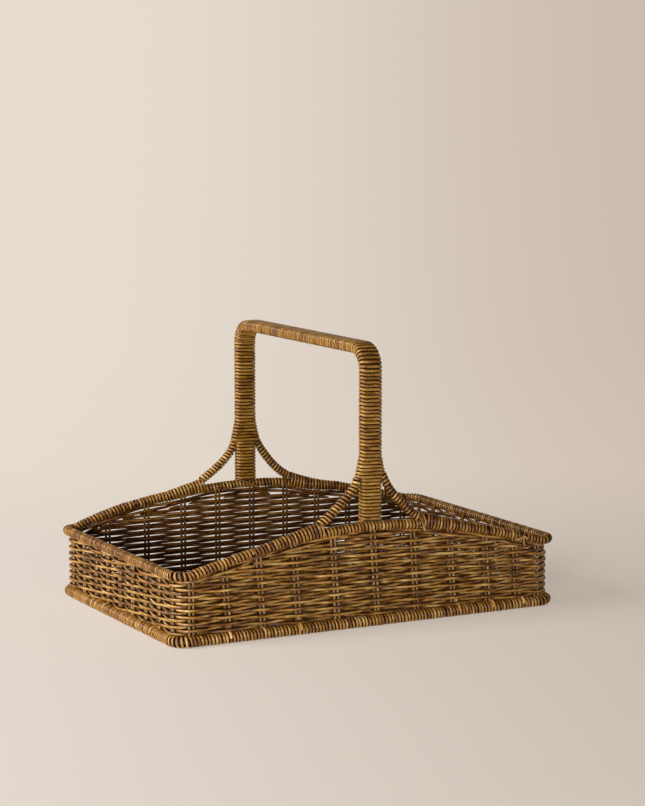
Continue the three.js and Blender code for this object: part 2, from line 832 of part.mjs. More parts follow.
const floorHalfLength = baseHalfLength - baseRadius - fit;
const floorHalfWidth = baseHalfWidth - baseRadius - fit;
const floorCornerRadius = baseCornerRadius - baseRadius - fit;
const crossRodHeight = baseRadius - crossRodSize / 2 - fit;
const floorBottom = crossRodHeight + crossRodSize / 2 + fit;
const floorTop = floorBottom + floorStrandSize;
const floorSwing = (floorStrandSize + floorStickSize) / 2;
const bandPitch = floorBandStrands * (floorStrandSize + floorStrandGap);
const bandCount = Math.round((2 * floorHalfWidth) / bandPitch);
const bayCount = (crossRodCount + 1) * stickPairsPerSpan;
const bayLength = (2 * floorHalfLength) / bayCount;

// The mat in triangles. On top, every second cell is a hump, where a band passes over a pair of sticks. The
// bands that pass under it make one shallow ridge below the pair.
function matGeometry() {
  const faces = [];
  const bayX = (bay) => bay * bayLength - floorHalfLength;
  const bandY = (band) => floorHalfWidth * ((2 * band) / bandCount - 1);
  const corner = (bay, band) => new THREE.Vector3(bayX(bay), bandY(band), floorTop);
  const under = (bay, band) => new THREE.Vector3(bayX(bay), bandY(band), floorBottom);
  const crest = (bay, band) => new THREE.Vector3(bayX(bay + 1 / 2), bandY(band), floorTop + floorSwing);
  const keel = (bay, band) => new THREE.Vector3(bayX(bay + 1 / 2), bandY(band), floorBottom - floorSwing / 2);
  for (let bay = 0; bay < bayCount; bay += 1) {
    for (let band = 0; band < bandCount; band += 1) {
      const a = corner(bay, band);
      const b = corner(bay + 1, band);
      const c = corner(bay + 1, band + 1);
      const d = corner(bay, band + 1);
      if ((bay + band) % 2 === 0) {
        const near = crest(bay, band);
        const far = crest(bay, band + 1);
        faces.push([a, near, far], [a, far, d], [near, b, c], [near, c, far], [a, b, near], [c, d, far]);
      } else {
        faces.push([a, b, c], [a, c, d]);
      }
    }
    const [nearLeft, farLeft] = [under(bay, 0), under(bay, bandCount)];
    const [nearRight, farRight] = [under(bay + 1, 0), under(bay + 1, bandCount)];
    const [nearKeel, farKeel] = [keel(bay, 0), keel(bay, bandCount)];
    faces.push([nearLeft, farKeel, nearKeel], [nearLeft, farLeft, farKeel]);
    faces.push([nearKeel, farRight, nearRight], [nearKeel, farKeel, farRight]);
    faces.push([nearLeft, nearKeel, nearRight], [nearLeft, nearRight, corner(bay + 1, 0)]);
    faces.push([nearLeft, corner(bay + 1, 0), corner(bay, 0)]);
    faces.push([farRight, farKeel, farLeft], [farRight, farLeft, corner(bay, bandCount)]);
    faces.push([farRight, corner(bay, bandCount), corner(bay + 1, bandCount)]);
  }
  faces.push([under(0, bandCount), under(0, 0), corner(0, 0)]);
  faces.push([under(bayCount, 0), under(bayCount, bandCount), corner(bayCount, bandCount)]);
  for (let band = 0; band < bandCount; band += 1) {
    faces.push([under(0, bandCount), corner(0, band), corner(0, band + 1)]);
    faces.push([under(bayCount, 0), corner(bayCount, band + 1), corner(bayCount, band)]);
  }
  const geometry = new THREE.BufferGeometry();
  const numbers = faces.flat().flatMap((vertex) => vertex.toArray());
  geometry.setAttribute("position", new THREE.Float32BufferAttribute(numbers, 3));
  return geometry;
}

function floorOutline() {
  const level = ringPoints(floorHalfLength, floorHalfWidth, floorCornerRadius, () => 0, rimArcSteps, 1);
  return new THREE.Shape(level.map(({ x, y }) => new THREE.Vector2(x, y)));
}

const matOutline = new THREE.ExtrudeGeometry(floorOutline(), {
  depth: floorTop + floorSwing + cutMargin,
  bevelEnabled: false,
});
const mat = toManifold(matGeometry()).intersect(toManifold(matOutline));
addPiece("woven_floor", fromManifold(mat), darkCane);

const crossRodSpacing = (2 * floorHalfLength) / (crossRodCount + 1);
for (let i = 1; i <= crossRodCount; i += 1) {
  const rod = new THREE.CylinderGeometry(crossRodSize / 2, crossRodSize / 2, 2 * floorHalfWidth, roundSides);
  const mesh = addPiece(`floor_cross_rod_${i}`, rod, steel);
  mesh.position.set(i * crossRodSpacing - floorHalfLength, 0, crossRodHeight);
}

export default basket;
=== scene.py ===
import itertools
import math
import random

import bmesh
import bpy
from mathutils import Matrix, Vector


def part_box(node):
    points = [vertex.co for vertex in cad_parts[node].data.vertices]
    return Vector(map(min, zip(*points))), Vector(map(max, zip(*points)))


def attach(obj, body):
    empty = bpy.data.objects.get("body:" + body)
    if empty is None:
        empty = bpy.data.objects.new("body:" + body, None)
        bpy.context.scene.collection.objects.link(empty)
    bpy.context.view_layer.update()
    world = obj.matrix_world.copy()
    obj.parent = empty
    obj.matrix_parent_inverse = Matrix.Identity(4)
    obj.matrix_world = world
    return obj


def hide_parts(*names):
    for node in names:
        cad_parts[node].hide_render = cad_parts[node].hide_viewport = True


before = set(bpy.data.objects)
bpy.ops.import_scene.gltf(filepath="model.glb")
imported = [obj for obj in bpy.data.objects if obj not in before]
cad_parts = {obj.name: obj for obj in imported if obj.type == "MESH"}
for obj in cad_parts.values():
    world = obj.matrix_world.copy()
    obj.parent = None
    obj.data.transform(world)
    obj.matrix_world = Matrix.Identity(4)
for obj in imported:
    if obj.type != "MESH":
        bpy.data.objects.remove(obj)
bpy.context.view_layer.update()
print("frame loaded:", len(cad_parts), "nodes")

up = Vector((0, 0, 1))


def middleOf(node):
    low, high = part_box(node)
    return (low + high) / 2


def clamped(value):
    return min(max(value, 0), 1)


# 1 close to the middle of a short stretch, and steeply down to 0 past its width
def plateau(distance, width):
    return math.exp(-(distance / width) ** 4)


def newObject(name, data):
    item = bpy.data.objects.new(name, data)
    bpy.context.scene.collection.objects.link(item)
    return item


# Camera, at the photograph's own place and angle
view = dict(
    place=(-1.06811, -2.05434, 0.50588),
    pitch=7.644,  # degrees down
    yaw=27.882,  # degrees to the right of +Y
    lens=133.75,
    sensor=36,
    clipEnd=30,
)
cameraData = bpy.data.cameras.new("camera")
cameraData.lens = view["lens"]
cameraData.sensor_width = view["sensor"]
cameraData.sensor_fit = "HORIZONTAL"
cameraData.clip_end = view["clipEnd"]
camera = newObject("camera", cameraData)
camera.location = view["place"]
yaw = math.radians(view["yaw"])
camera.rotation_euler = (math.radians(90 - view["pitch"]), 0, -yaw)
bpy.context.scene.camera = camera
ahead = Vector((math.sin(yaw), math.cos(yaw), 0))
toRight = Vector((ahead.y, -ahead.x, 0))


# Colours are written as they look on a screen, 0 to 255
def colour(red, green, blue):
    def linear(value):
        share = value / 255
        return share / 12.92 if share <= 0.04045 else ((share + 0.055) / 1.055) ** 2.4
    return (linear(red), linear(green), linear(blue), 1.0)


# A node tree and the few calls that wire it
class Wiring:
    def __init__(self, tree):
        self.tree = tree

    def put(self, kind, inputs=None, output=0, **settings):
        node = self.tree.nodes.new(kind)
        for key, value in settings.items():
            setattr(node, key, value)
        for key, value in (inputs or {}).items():
            self.feed(node.inputs[key], value)
        return node.outputs[output]

    def feed(self, socket, value):
        if isinstance(value, bpy.types.NodeSocket):
            self.tree.links.new(value, socket)
        else:
            socket.default_value = value

    def maths(self, operation, first, second=0.0):
        return self.put("ShaderNodeMath", {0: first, 1: second}, operation=operation)

    def plus(self, first, second):
        return self.maths("ADD", first, second)

    def times(self, first, second):
        return self.maths("MULTIPLY", first, second)

    def vector(self, operation, first, second=(0, 0, 0)):
        return self.put("ShaderNodeVectorMath", {0: first, 1: second}, operation=operation)

    def stretch(self, vector, factor):
        return self.put("ShaderNodeVectorMath", {0: vector, "Scale": factor}, operation="SCALE")

    def axis(self, vector, name):
        return self.put("ShaderNodeSeparateXYZ", {"Vector": vector}, output=name)

    def attribute(self, name, output="Fac"):
        return self.put("ShaderNodeAttribute", output=output, attribute_name=name)

    # From low to high while the value goes from start to end
    def graded(self, value, start, end, low=0.0, high=1.0, shape="LINEAR"):
        ends = {"From Min": start, "From Max": end, "To Min": low, "To Max": high}
        return self.put("ShaderNodeMapRange", {"Value": value, **ends}, interpolation_type=shape)

    def blended(self, share, first, second):
        return self.put("ShaderNodeMix", {0: share, 6: first, 7: second}, output=2, data_type="RGBA")

    def noise(self, place, scale, detail, roughness=0.5):
        sizes = {"Scale": scale, "Detail": detail, "Roughness": roughness}
        return self.put("ShaderNodeTexNoise", {"Vector": place, **sizes})

    def bump(self, height, strength, depth):
        return self.put("ShaderNodeBump", {"Height": height, "Strength": strength, "Distance": depth})


def newMaterial(name):
    material = bpy.data.materials.new(name)
    material.use_nodes = True
    return material, Wiring(material.node_tree), material.node_tree.nodes["Principled BSDF"]


# Cane. A grain is noise on the strand: how fine it is round the strand, its length along it, how far apart it
# starts from strand to strand, its detail and its roughness.

caneLook = dict(
    tones=((0.34, colour(54, 25, 2)), (0.44, colour(100, 58, 11)), (0.53, colour(157, 110, 40)),
           (0.66, colour(204, 169, 104))),  # each with its place on a scale from dark to light
    middle=0.515,  # where the cane as a whole lies on it
    patches=(0.45, 0.016, 61, 2.0, 0.5),
    fibres=(2.6, 0.006, 97, 3.0, 0.6),
    fibreShare=0.38,  # of the tone, the rest is the patches'
    ownTone=0.09,  # how much lighter or darker a whole strand may be
    lilac=colour(150, 124, 102),
    bloom=(0.8, 0.0128, 143, 2.0, 0.5),  # where the strand is pinkish
    bloomRange=(0.5, 0.66),
    # the next four entries are painted shade: its colour, and where it lies where strands touch or press on a
    # stake
    creviceShade=colour(24, 7, 0),
    edgeFull=0.9,  # how far round to its neighbour a strand is at its darkest
    pressRange=(0.52, 0.9),  # how near to a stake the face towards it darkens, 0 to 1
    pressShade=0.9,
    # the next two entries are painted shade on inward faces: what is left of the colour there, and over which
    # faces
    inward=(0.44, 0.3, 0.14, 1.0),  # what is left of the colour on inward faces
    inwardRange=(0.2, -0.6),  # from faces a little outwards to faces that look inwards
    sheen=0.7,
    roughness=(0.22, 0.42),
    roughRange=(0.3, 0.7),  # of the fibres, over which the roughness grows
    dulling=0.4,
    grooves=(4.2, 0.009, 31, 2.0, 0.6),
    grooveDepth=0.00012,
    grooveStrength=0.55,
)


# Edge is how dark the painted shade makes the strand towards its neighbours, and edgeStart how far round to
# them that starts.
# Inside is how far its inward face has a painted shade, a deeper colour than its outward face.
def caneMaterial(name, light=1.0, contrast=1.0, edge=0.0, edgeStart=0.5, lilacShare=0.3, inside=0.0,
                 gloss=1.0, green=1.0):
    look = caneLook
    material, wires, shader = newMaterial(name)
    along = wires.attribute("along")
    tone = wires.attribute("tone")
    around = wires.attribute("round", "Vector")
    outward = wires.axis(around, "X")

    def noise(grain):
        fineness, length, apart, detail, roughness = grain
        z = wires.plus(wires.maths("DIVIDE", along, length), wires.times(tone, apart))
        lengthwise = wires.put("ShaderNodeCombineXYZ", {"Z": z})
        place = wires.vector("ADD", wires.stretch(around, fineness), lengthwise)
        return wires.noise(place, 1.0, detail, roughness)

    # the noise lies about 0.5, and so do the strands' own tones
    fibres = noise(look["fibres"])
    ofPatches = wires.times(noise(look["patches"]), 1 - look["fibreShare"])
    mixed = wires.plus(ofPatches, wires.times(fibres, look["fibreShare"]))
    mixed = wires.times(wires.maths("SUBTRACT", mixed, 0.5), contrast)
    ownTone = wires.times(wires.maths("SUBTRACT", tone, 0.5), look["ownTone"])
    mixed = wires.plus(wires.plus(mixed, look["middle"]), ownTone)

    scale = wires.tree.nodes.new("ShaderNodeValToRGB")
    scale.color_ramp.interpolation = "EASE"
    elements = scale.color_ramp.elements
    while len(elements) < len(look["tones"]):
        elements.new(0.5)
    for element, (place, shade) in zip(elements, look["tones"]):
        element.position = place
        element.color = (shade[0] * light, shade[1] * light * green, shade[2] * light, 1.0)
    wires.feed(scale.inputs["Fac"], mixed)
    lilac = [part * light for part in look["lilac"][:3]] + [1.0]
    bloom = wires.graded(noise(look["bloom"]), *look["bloomRange"], 0.0, lilacShare, "SMOOTHSTEP")
    cane = wires.blended(bloom, scale.outputs["Color"], lilac)

    # painted shade where a strand touches its neighbours, and where it presses on a stake
    toNeighbour = wires.maths("ABSOLUTE", wires.axis(around, "Y"))
    shaded = wires.graded(toNeighbour, edgeStart, look["edgeFull"], 0.0, edge, "SMOOTHSTEP")
    offStake = wires.times(wires.attribute("press"), outward)
    start, end = look["pressRange"]
    stakeShade = wires.graded(offStake, -start, -end, 0.0, look["pressShade"], "SMOOTHSTEP")
    shaded = wires.maths("MAXIMUM", shaded, stakeShade)
    # painted shade on the inward faces
    facesIn = wires.graded(outward, *look["inwardRange"], 0.0, inside)
    inwardShade = wires.blended(facesIn, (1.0, 1.0, 1.0, 1.0), look["inward"])
    cane = wires.blended(shaded, wires.vector("MULTIPLY", cane, inwardShade), look["creviceShade"])
    wires.feed(shader.inputs["Base Color"], cane)

    # canes without an edge don't press on a stake either, so their sheen is even
    sheen = look["sheen"] * gloss
    if edge:
        sheen = wires.times(wires.maths("SUBTRACT", 1.0, shaded), sheen)
    wires.feed(shader.inputs["Specular IOR Level"], sheen)
    duller = (1 - gloss) * look["dulling"]
    smoothest, roughest = look["roughness"]
    rough = wires.graded(fibres, *look["roughRange"], smoothest + duller, roughest + duller)
    wires.feed(shader.inputs["Roughness"], rough)
    bump = wires.bump(noise(look["grooves"]), look["grooveStrength"], look["grooveDepth"])
    wires.feed(shader.inputs["Normal"], bump)
    return material


steelLook = dict(
    paint=colour(66, 44, 26),
    worn=colour(96, 70, 46),
    wornRange=(0.45, 0.7),
    patches=180.0,  # to a metre
    detail=4.0,
    roughness=(0.4, 0.65),
    bumpDepth=0.00008,
    bumpStrength=0.3,
)


def paintedSteel():
    look = steelLook
    material, wires, shader = newMaterial("brownPaintedSteel")
    place = wires.put("ShaderNodeTexCoord", output="Object")
    patches = wires.noise(place, look["patches"], look["detail"])
    worn = wires.graded(patches, *look["wornRange"])
    wires.feed(shader.inputs["Base Color"], wires.blended(worn, look["paint"], look["worn"]))
    wires.feed(shader.inputs["Roughness"], wires.graded(patches, 0.0, 1.0, *look["roughness"]))
    wires.feed(shader.inputs["Normal"], wires.bump(patches, look["bumpStrength"], look["bumpDepth"]))
    return material


bindingCane = caneMaterial("bindingCane", light=1.24, contrast=0.5, edge=0.88, edgeStart=0.46,
                           lilacShare=0.15, green=1.07)
ringCane = caneMaterial("ringCane", light=1.27, contrast=0.8, edge=0.98, edgeStart=0.38, lilacShare=0.06)
weaveCane = caneMaterial("weaveCane", light=1.14, contrast=0.95, edge=0.95, inside=0.95, green=1.02)
endCane = caneMaterial("endCane", light=1.6, contrast=0.8)
stakeCane = caneMaterial("stakeCane", light=0.85, contrast=0.8, lilacShare=0.6)
# painted shade: a darker, duller copy of the stake cane for the far wall, whose stakes lie in shade
shadedStakeCane = caneMaterial("shadedStakeCane", light=0.5, contrast=0.8, gloss=0.5)  # in the far wall
floorCane = caneMaterial("floorCane", light=0.85, edge=0.7, gloss=0.15)
steel = paintedSteel()
print("materials made")


# Geometry Nodes. A wave of noise is how many there are to a turn, or to a metre of a single strand, and where
# on the noise it starts.

waves = dict(
    slack=(1.1, 0.0),
    drift=(0.83, 17.0),
    turnThickness=(0.61, 41.0),
    wander={"X": (55.0, 3.0), "Y": (55.0, 29.0), "Z": (55.0, 57.0)},
    strandThickness=(70.0, 83.0),
    thicknessChange=0.08,
    strandsApart=50.0,
)


def newTree(name, **sizes):
    tree = bpy.data.node_groups.new(name, "GeometryNodeTree")
    face = tree.interface
    face.new_socket("Geometry", in_out="INPUT", socket_type="NodeSocketGeometry")
    face.new_socket("Geometry", in_out="OUTPUT", socket_type="NodeSocketGeometry")
    for label, value in sizes.items():
        kind = "NodeSocketInt" if isinstance(value, int) else "NodeSocketFloat"
        face.new_socket(label, in_out="INPUT", socket_type=kind).default_value = value
    face.new_socket("Material", in_out="INPUT", socket_type="NodeSocketMaterial")
    return Wiring(tree), tree.nodes.new("NodeGroupInput").outputs


def named(wires, name, kind="FLOAT"):
    return wires.put("GeometryNodeInputNamedAttribute", {"Name": name}, data_type=kind)


# From -1 to 1, smoothly along the place
def smoothNoise(wires, sizes, place, wave):
    frequency, shift = wave
    ownStart = wires.times(named(wires, "tone"), waves["strandsApart"])
    start = wires.plus(wires.plus(sizes["Seed"], ownStart), shift)
    w = wires.plus(wires.times(place, frequency), start)
    value = wires.put("ShaderNodeTexNoise", {"W": w, "Scale": 1.0, "Detail": 1.0}, noise_dimensions="1D")
    return wires.times(wires.maths("SUBTRACT", value, 0.5), 2.0)


def nearOne(wires, sizes, place, wave, change):
    return wires.plus(1.0, wires.times(smoothNoise(wires, sizes, place, wave), change))


def stored(wires, geometry, name, value, kind="FLOAT"):
    inputs = {"Geometry": geometry, "Name": name, "Value": value}
    return wires.put("GeometryNodeStoreNamedAttribute", inputs, data_type=kind, domain="POINT")


# The last stretch of both trees: a round skin on the curve, with the places round and along it
def skin(wires, curve, sizes, thickness, width=1.0):
    length = wires.put("GeometryNodeSplineParameter", output="Length")
    curve = stored(wires, curve, "along", length)
    radius = wires.maths("DIVIDE", sizes["Strand"], 2.0)
    ring = wires.put("GeometryNodeCurvePrimitiveCircle", {"Resolution": sizes["Sides"], "Radius": radius})
    place = wires.put("GeometryNodeInputPosition")
    unit = wires.stretch(place, wires.maths("DIVIDE", 1.0, radius))
    ring = stored(wires, ring, "round", unit, "FLOAT_VECTOR")
    oval = wires.put("ShaderNodeCombineXYZ", {"X": 1.0, "Y": width, "Z": 1.0})
    ring = wires.put("GeometryNodeTransform", {"Geometry": ring, "Scale": oval})
    thickness = wires.times(thickness, named(wires, "thick"))
    solid = {"Curve": curve, "Profile Curve": ring, "Scale": thickness, "Fill Caps": True}
    mesh = wires.put("GeometryNodeCurveToMesh", solid)
    mesh = wires.put("GeometryNodeSetShadeSmooth", {"Geometry": mesh})
    mesh = wires.put("GeometryNodeSetMaterial", {"Geometry": mesh, "Material": sizes["Material"]})
    mesh = wires.put("GeometryNodeRealizeInstances", {"Geometry": mesh})
    end = wires.tree.nodes.new("NodeGroupOutput")
    wires.feed(end.inputs["Geometry"], mesh)


# A strand wound round a path. Across and over are its reach to the path's side and square to that. Squareness
# 2 winds it round, and more makes the turns squarer. Steps are those of one turn.
def windingTree():
    wires, sizes = newTree("winding", Strand=0.0026, Width=0.0036, Pitch=0.0041, Squareness=2.0, Wander=0.1,
                           Slack=0.02, Seed=0.0, Steps=14, Sides=8)
    curve = wires.put("GeometryNodeMeshToCurve", {"Mesh": sizes["Geometry"]})
    step = wires.maths("DIVIDE", sizes["Pitch"], sizes["Steps"])
    curve = wires.put("GeometryNodeResampleCurve", {"Curve": curve, "Length": step}, mode="LENGTH")
    total = wires.put("GeometryNodeSplineLength", output="Length")
    share = wires.put("GeometryNodeSplineParameter", output="Factor")
    turns = wires.maths("ROUND", wires.maths("DIVIDE", total, sizes["Pitch"]))
    turn = wires.times(share, turns)
    angle = wires.times(turn, math.tau)
    cosine, sine = wires.maths("COSINE", angle), wires.maths("SINE", angle)
    power = wires.maths("DIVIDE", 2.0, sizes["Squareness"])
    normalPower = wires.maths("SUBTRACT", 2.0, power)

    def pushed(value, power):
        size = wires.maths("POWER", wires.maths("ABSOLUTE", value), power)
        return wires.times(wires.maths("SIGN", value), size)

    tangent = wires.vector("NORMALIZE", wires.put("GeometryNodeInputTangent"))
    side = wires.vector("NORMALIZE", named(wires, "side", "FLOAT_VECTOR"))
    over = wires.vector("NORMALIZE", wires.vector("CROSS_PRODUCT", tangent, side))
    slack = nearOne(wires, sizes, turn, waves["slack"], sizes["Slack"])
    reachAcross = wires.times(named(wires, "across"), slack)
    reachOver = wires.times(named(wires, "over"), slack)
    across = wires.times(reachAcross, pushed(cosine, power))
    above = wires.times(reachOver, pushed(sine, power))
    outAcross = wires.maths("DIVIDE", pushed(cosine, normalPower), named(wires, "across"))
    outAbove = wires.maths("DIVIDE", pushed(sine, normalPower), named(wires, "over"))
    outward = wires.vector("ADD", wires.stretch(side, outAcross), wires.stretch(over, outAbove))
    wander = wires.times(sizes["Wander"], sizes["Pitch"])
    drift = wires.times(smoothNoise(wires, sizes, turn, waves["drift"]), wander)
    offset = wires.vector("ADD", wires.stretch(side, across), wires.stretch(over, above))
    offset = wires.vector("ADD", offset, wires.stretch(tangent, drift))
    normal = wires.vector("NORMALIZE", outward)
    curve = wires.put("GeometryNodeSetCurveNormal", {"Curve": curve, "Normal": normal}, mode="FREE")
    curve = wires.put("GeometryNodeSetPosition", {"Geometry": curve, "Offset": offset})
    thickness = nearOne(wires, sizes, turn, waves["turnThickness"], waves["thicknessChange"])
    skin(wires, curve, sizes, thickness, wires.maths("DIVIDE", sizes["Width"], sizes["Strand"]))
    return wires.tree


# A single strand that runs smoothly through the stops of a path
def strandTree(name, normals):
    wires, sizes = newTree(name, Strand=0.00285, Step=0.0025, Wander=0.0002, Seed=0.0, Smoothness=12, Sides=8)
    curve = wires.put("GeometryNodeMeshToCurve", {"Mesh": sizes["Geometry"]})
    curve = wires.put("GeometryNodeCurveSplineType", {"Curve": curve}, spline_type="CATMULL_ROM")
    smooth = {"Geometry": curve, "Resolution": sizes["Smoothness"]}
    curve = wires.put("GeometryNodeSetSplineResolution", smooth)
    curve = wires.put("GeometryNodeResampleCurve", {"Curve": curve, "Length": sizes["Step"]}, mode="LENGTH")
    curve = wires.put("GeometryNodeSetCurveNormal", {"Curve": curve}, mode=normals)
    length = wires.put("GeometryNodeSplineParameter", output="Length")
    aside = {axis: wires.times(smoothNoise(wires, sizes, length, wave), sizes["Wander"])
             for axis, wave in waves["wander"].items()}
    offset = wires.put("ShaderNodeCombineXYZ", aside)
    curve = wires.put("GeometryNodeSetPosition", {"Geometry": curve, "Offset": offset})
    thickness = nearOne(wires, sizes, length, waves["strandThickness"], waves["thicknessChange"])
    skin(wires, curve, sizes, thickness)
    return wires.tree


winding = windingTree()
lyingStrand = strandTree("lyingStrand", "Z_UP")
standingStrand = strandTree("standingStrand", "MINIMUM_TWIST")
print("trees built")


# Paths are lists of stops: (place, side, across, over) for a winding, and (place, thick, press) for a strand
# or just (place,). Press is 1 where it passes outside a stake and -1 where it passes inside.
def pathMesh(name, paths, seed):
    draw = random.Random(seed)
    places, edges = [], []
    values = {"side": [], "across": [], "over": [], "tone": [], "thick": [], "press": []}
    for path in paths:
        tone = draw.random()
        first = len(places)
        for stop in path:
            place, side, across, over = stop if len(stop) == 4 else (stop[0], up, 0.0, 0.0)
            thick, press = stop[1:] if len(stop) == 3 else (1.0, 0.0)
            places.append(place)
            values["side"].extend(side)
            values["across"].append(across)
            values["over"].append(over)
            values["tone"].append(tone)
            values["thick"].append(thick)
            values["press"].append(press)
        edges.extend((i, i + 1) for i in range(first, len(places) - 1))
    mesh = bpy.data.meshes.new(name)
    mesh.from_pydata(places, edges, [])
    for key, numbers in values.items():
        kind, field = ("FLOAT_VECTOR", "vector") if key == "side" else ("FLOAT", "value")
        mesh.attributes.new(key, kind, "POINT").data.foreach_set(field, numbers)
    return mesh


# Runs a tree on a mesh and keeps the result as a plain mesh
def runTree(name, mesh, tree, sizes):
    piece = newObject(name, mesh)
    modifier = piece.modifiers.new(tree.name, "NODES")
    modifier.node_group = tree
    for item in tree.interface.items_tree:
        if item.in_out == "INPUT" and item.name in sizes:
            modifier[item.identifier] = sizes[item.name]
    depsgraph = bpy.context.evaluated_depsgraph_get()
    ready = piece.evaluated_get(depsgraph)
    made = bpy.data.meshes.new_from_object(ready, preserve_all_data_layers=True, depsgraph=depsgraph)
    piece.modifiers.remove(modifier)
    piece.data = made
    made.name = name
    bpy.data.meshes.remove(mesh)
    return piece


def finish(piece, nodes=()):
    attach(piece, "root")
    if nodes:
        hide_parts(*nodes)
    piece.data.calc_loop_triangles()
    print(piece.name, len(piece.data.loop_triangles), "triangles")


# The entries of sizes that are written with a capital are the tree's own inputs
def lay(name, paths, sizes, nodes, seed, material, tree=lyingStrand):
    values = {**sizes, "Seed": float(seed), "Material": material}
    finish(runTree(name, pathMesh(name + "Path", paths, seed), tree, values), nodes)


def wind(name, paths, sizes, nodes, seed, material=bindingCane):
    lay(name, paths, sizes, nodes, seed, material, winding)


# Rounded rectangle, anticlockwise from the middle of the near side. Each stop has its place, the way out and
# whether it is on a long side.
def ringStops(halfLength, halfWidth, radius, heightAt, step):
    stops = []
    flatX = halfLength - radius
    flatY = halfWidth - radius

    def straight(start, end, out, along):
        count = round(math.dist(start, end) / step)
        for i in range(count):
            x = start[0] + (end[0] - start[0]) * i / count
            y = start[1] + (end[1] - start[1]) * i / count
            stops.append((Vector((x, y, heightAt(x, y, along))), Vector(out), along))

    def corner(x, y, turned):
        count = round(radius * math.pi / 2 / step)
        for i in range(count):
            angle = math.radians(turned + 90 * i / count)
            out = Vector((math.cos(angle), math.sin(angle), 0))
            place = Vector((x, y, 0)) + out * radius
            place.z = heightAt(place.x, place.y, False)
            stops.append((place, out, False))

    straight((0, -halfWidth), (flatX, -halfWidth), (0, -1, 0), True)
    corner(flatX, -flatY, -90)
    straight((halfLength, -flatY), (halfLength, flatY), (1, 0, 0), False)
    corner(flatX, flatY, 0)
    straight((flatX, halfWidth), (-flatX, halfWidth), (0, 1, 0), True)
    corner(-flatX, flatY, 90)
    straight((-halfLength, flatY), (-halfLength, -flatY), (-1, 0, 0), False)
    corner(-flatX, -flatY, 180)
    straight((-flatX, -halfWidth), (0, -halfWidth), (0, -1, 0), True)
    return stops


# Rim

rim = dict(
    bound=0.0093,  # across the bound rim
    cornerRadius=0.0118,
    jointStarts={"near_left": 0.0515, "near_right": 0.0505, "far_left": 0.0465, "far_right": 0.0505},
    jointEnd=0.124,  # both from the middle: where the braces land, and where the tall turns end
    jointDrop={"near_right": 0.0045},  # how far the first turn of a landing reaches below the rim
    jointRise=0.0075,  # how much taller the winding is where it takes the brace in
    jointFall=1.6,  # power of its fall towards the corner
    jointStops=90,
    warps=((1, -0.188, -0.090, 0.0036), (1, 0.045, 0.105, -0.0024)),  # wall, start, end, rise
    warpPower=0.8,
    stitches=(-0.117, -0.0747, 0.165),  # where turns on the near side reach down by stitchDrop
    stitchDrop=0.0072,
    stitchWidth=0.0019,
    stopStep=0.0008,
    Strand=0.0026, Width=0.0034, Pitch=0.00365, Wander=0.08, Slack=0.08,
)
rimLow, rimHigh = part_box("rim_binding")
rimHalfLength = rimHigh.x - rim["bound"] / 2
rimHalfWidth = rimHigh.y - rim["bound"] / 2
rimCorner = rimLow.z + rim["bound"] / 2
rimRise = rimHigh.z - rim["bound"] / 2 - rimCorner
rimReach = (rim["bound"] - rim["Strand"]) / 2


def rimHeight(x, y=0.0, along=True):
    if not along:
        return rimCorner
    share = min(abs(x) / (rimHalfLength - rim["cornerRadius"]), 1)
    height = rimCorner + rimRise * math.cos(share * math.pi / 2)
    for side, start, end, rise in rim["warps"]:
        if side * y > 0 and start < x < end:
            height += rise * math.sin(math.pi * (x - start) / (end - start)) ** rim["warpPower"]
    return height


def jointStart(x, y):
    return rim["jointStarts"][("near" if y < 0 else "far") + ("_left" if x < 0 else "_right")]


# The rim's stretches between the joints, where turns of their own take the landing braces in
def rimRuns():
    stops = []
    ring = ringStops(rimHalfLength, rimHalfWidth, rim["cornerRadius"], rimHeight, rim["stopStep"])
    for place, out, along in ring:
        drop = 0
        if along and place.y < 0:
            nearest = min(abs(place.x - x) for x in rim["stitches"])
            drop = rim["stitchDrop"] * plateau(nearest, rim["stitchWidth"])
        zone = "outer"
        if along and abs(place.x) < rim["jointEnd"]:
            zone = "joint" if abs(place.x) > jointStart(place.x, place.y) else "middle"
        stops.append((zone, (place - up * drop / 2, out, rimReach, rimReach + drop / 2)))
    first = next(i for i, (zone, stop) in enumerate(stops) if zone == "joint")
    runs = itertools.groupby(stops[first:] + stops[:first], key=lambda pair: pair[0])
    return [[stop for zone, stop in run] for zone, run in runs if zone != "joint"]


wind("rimBindingTurns", rimRuns(), rim, ["rim_binding"], 3, material=ringCane)


# Base

base = dict(
    cornerRadius=0.0133,
    stopStep=0.001,
    Strand=0.0026, Width=0.0033, Pitch=0.00352, Wander=0.1, Slack=0.085,
)
baseLow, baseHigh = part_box("base_binding")
baseBound = baseHigh.z - baseLow.z
baseMiddle = middleOf("base_binding").z
baseHalfLength = baseHigh.x - baseBound / 2
baseHalfWidth = baseHigh.y - baseBound / 2
baseReach = (baseBound - base["Strand"]) / 2
baseRing = ringStops(baseHalfLength, baseHalfWidth, base["cornerRadius"], lambda x, y, along: baseMiddle,
                     base["stopStep"])
basePath = [(place, out, baseReach, baseReach) for place, out, along in baseRing]
basePath.append(basePath[0])
wind("baseBindingTurns", [basePath], base, ["base_binding"], 5, material=ringCane)


# Handle, its collars and the braces

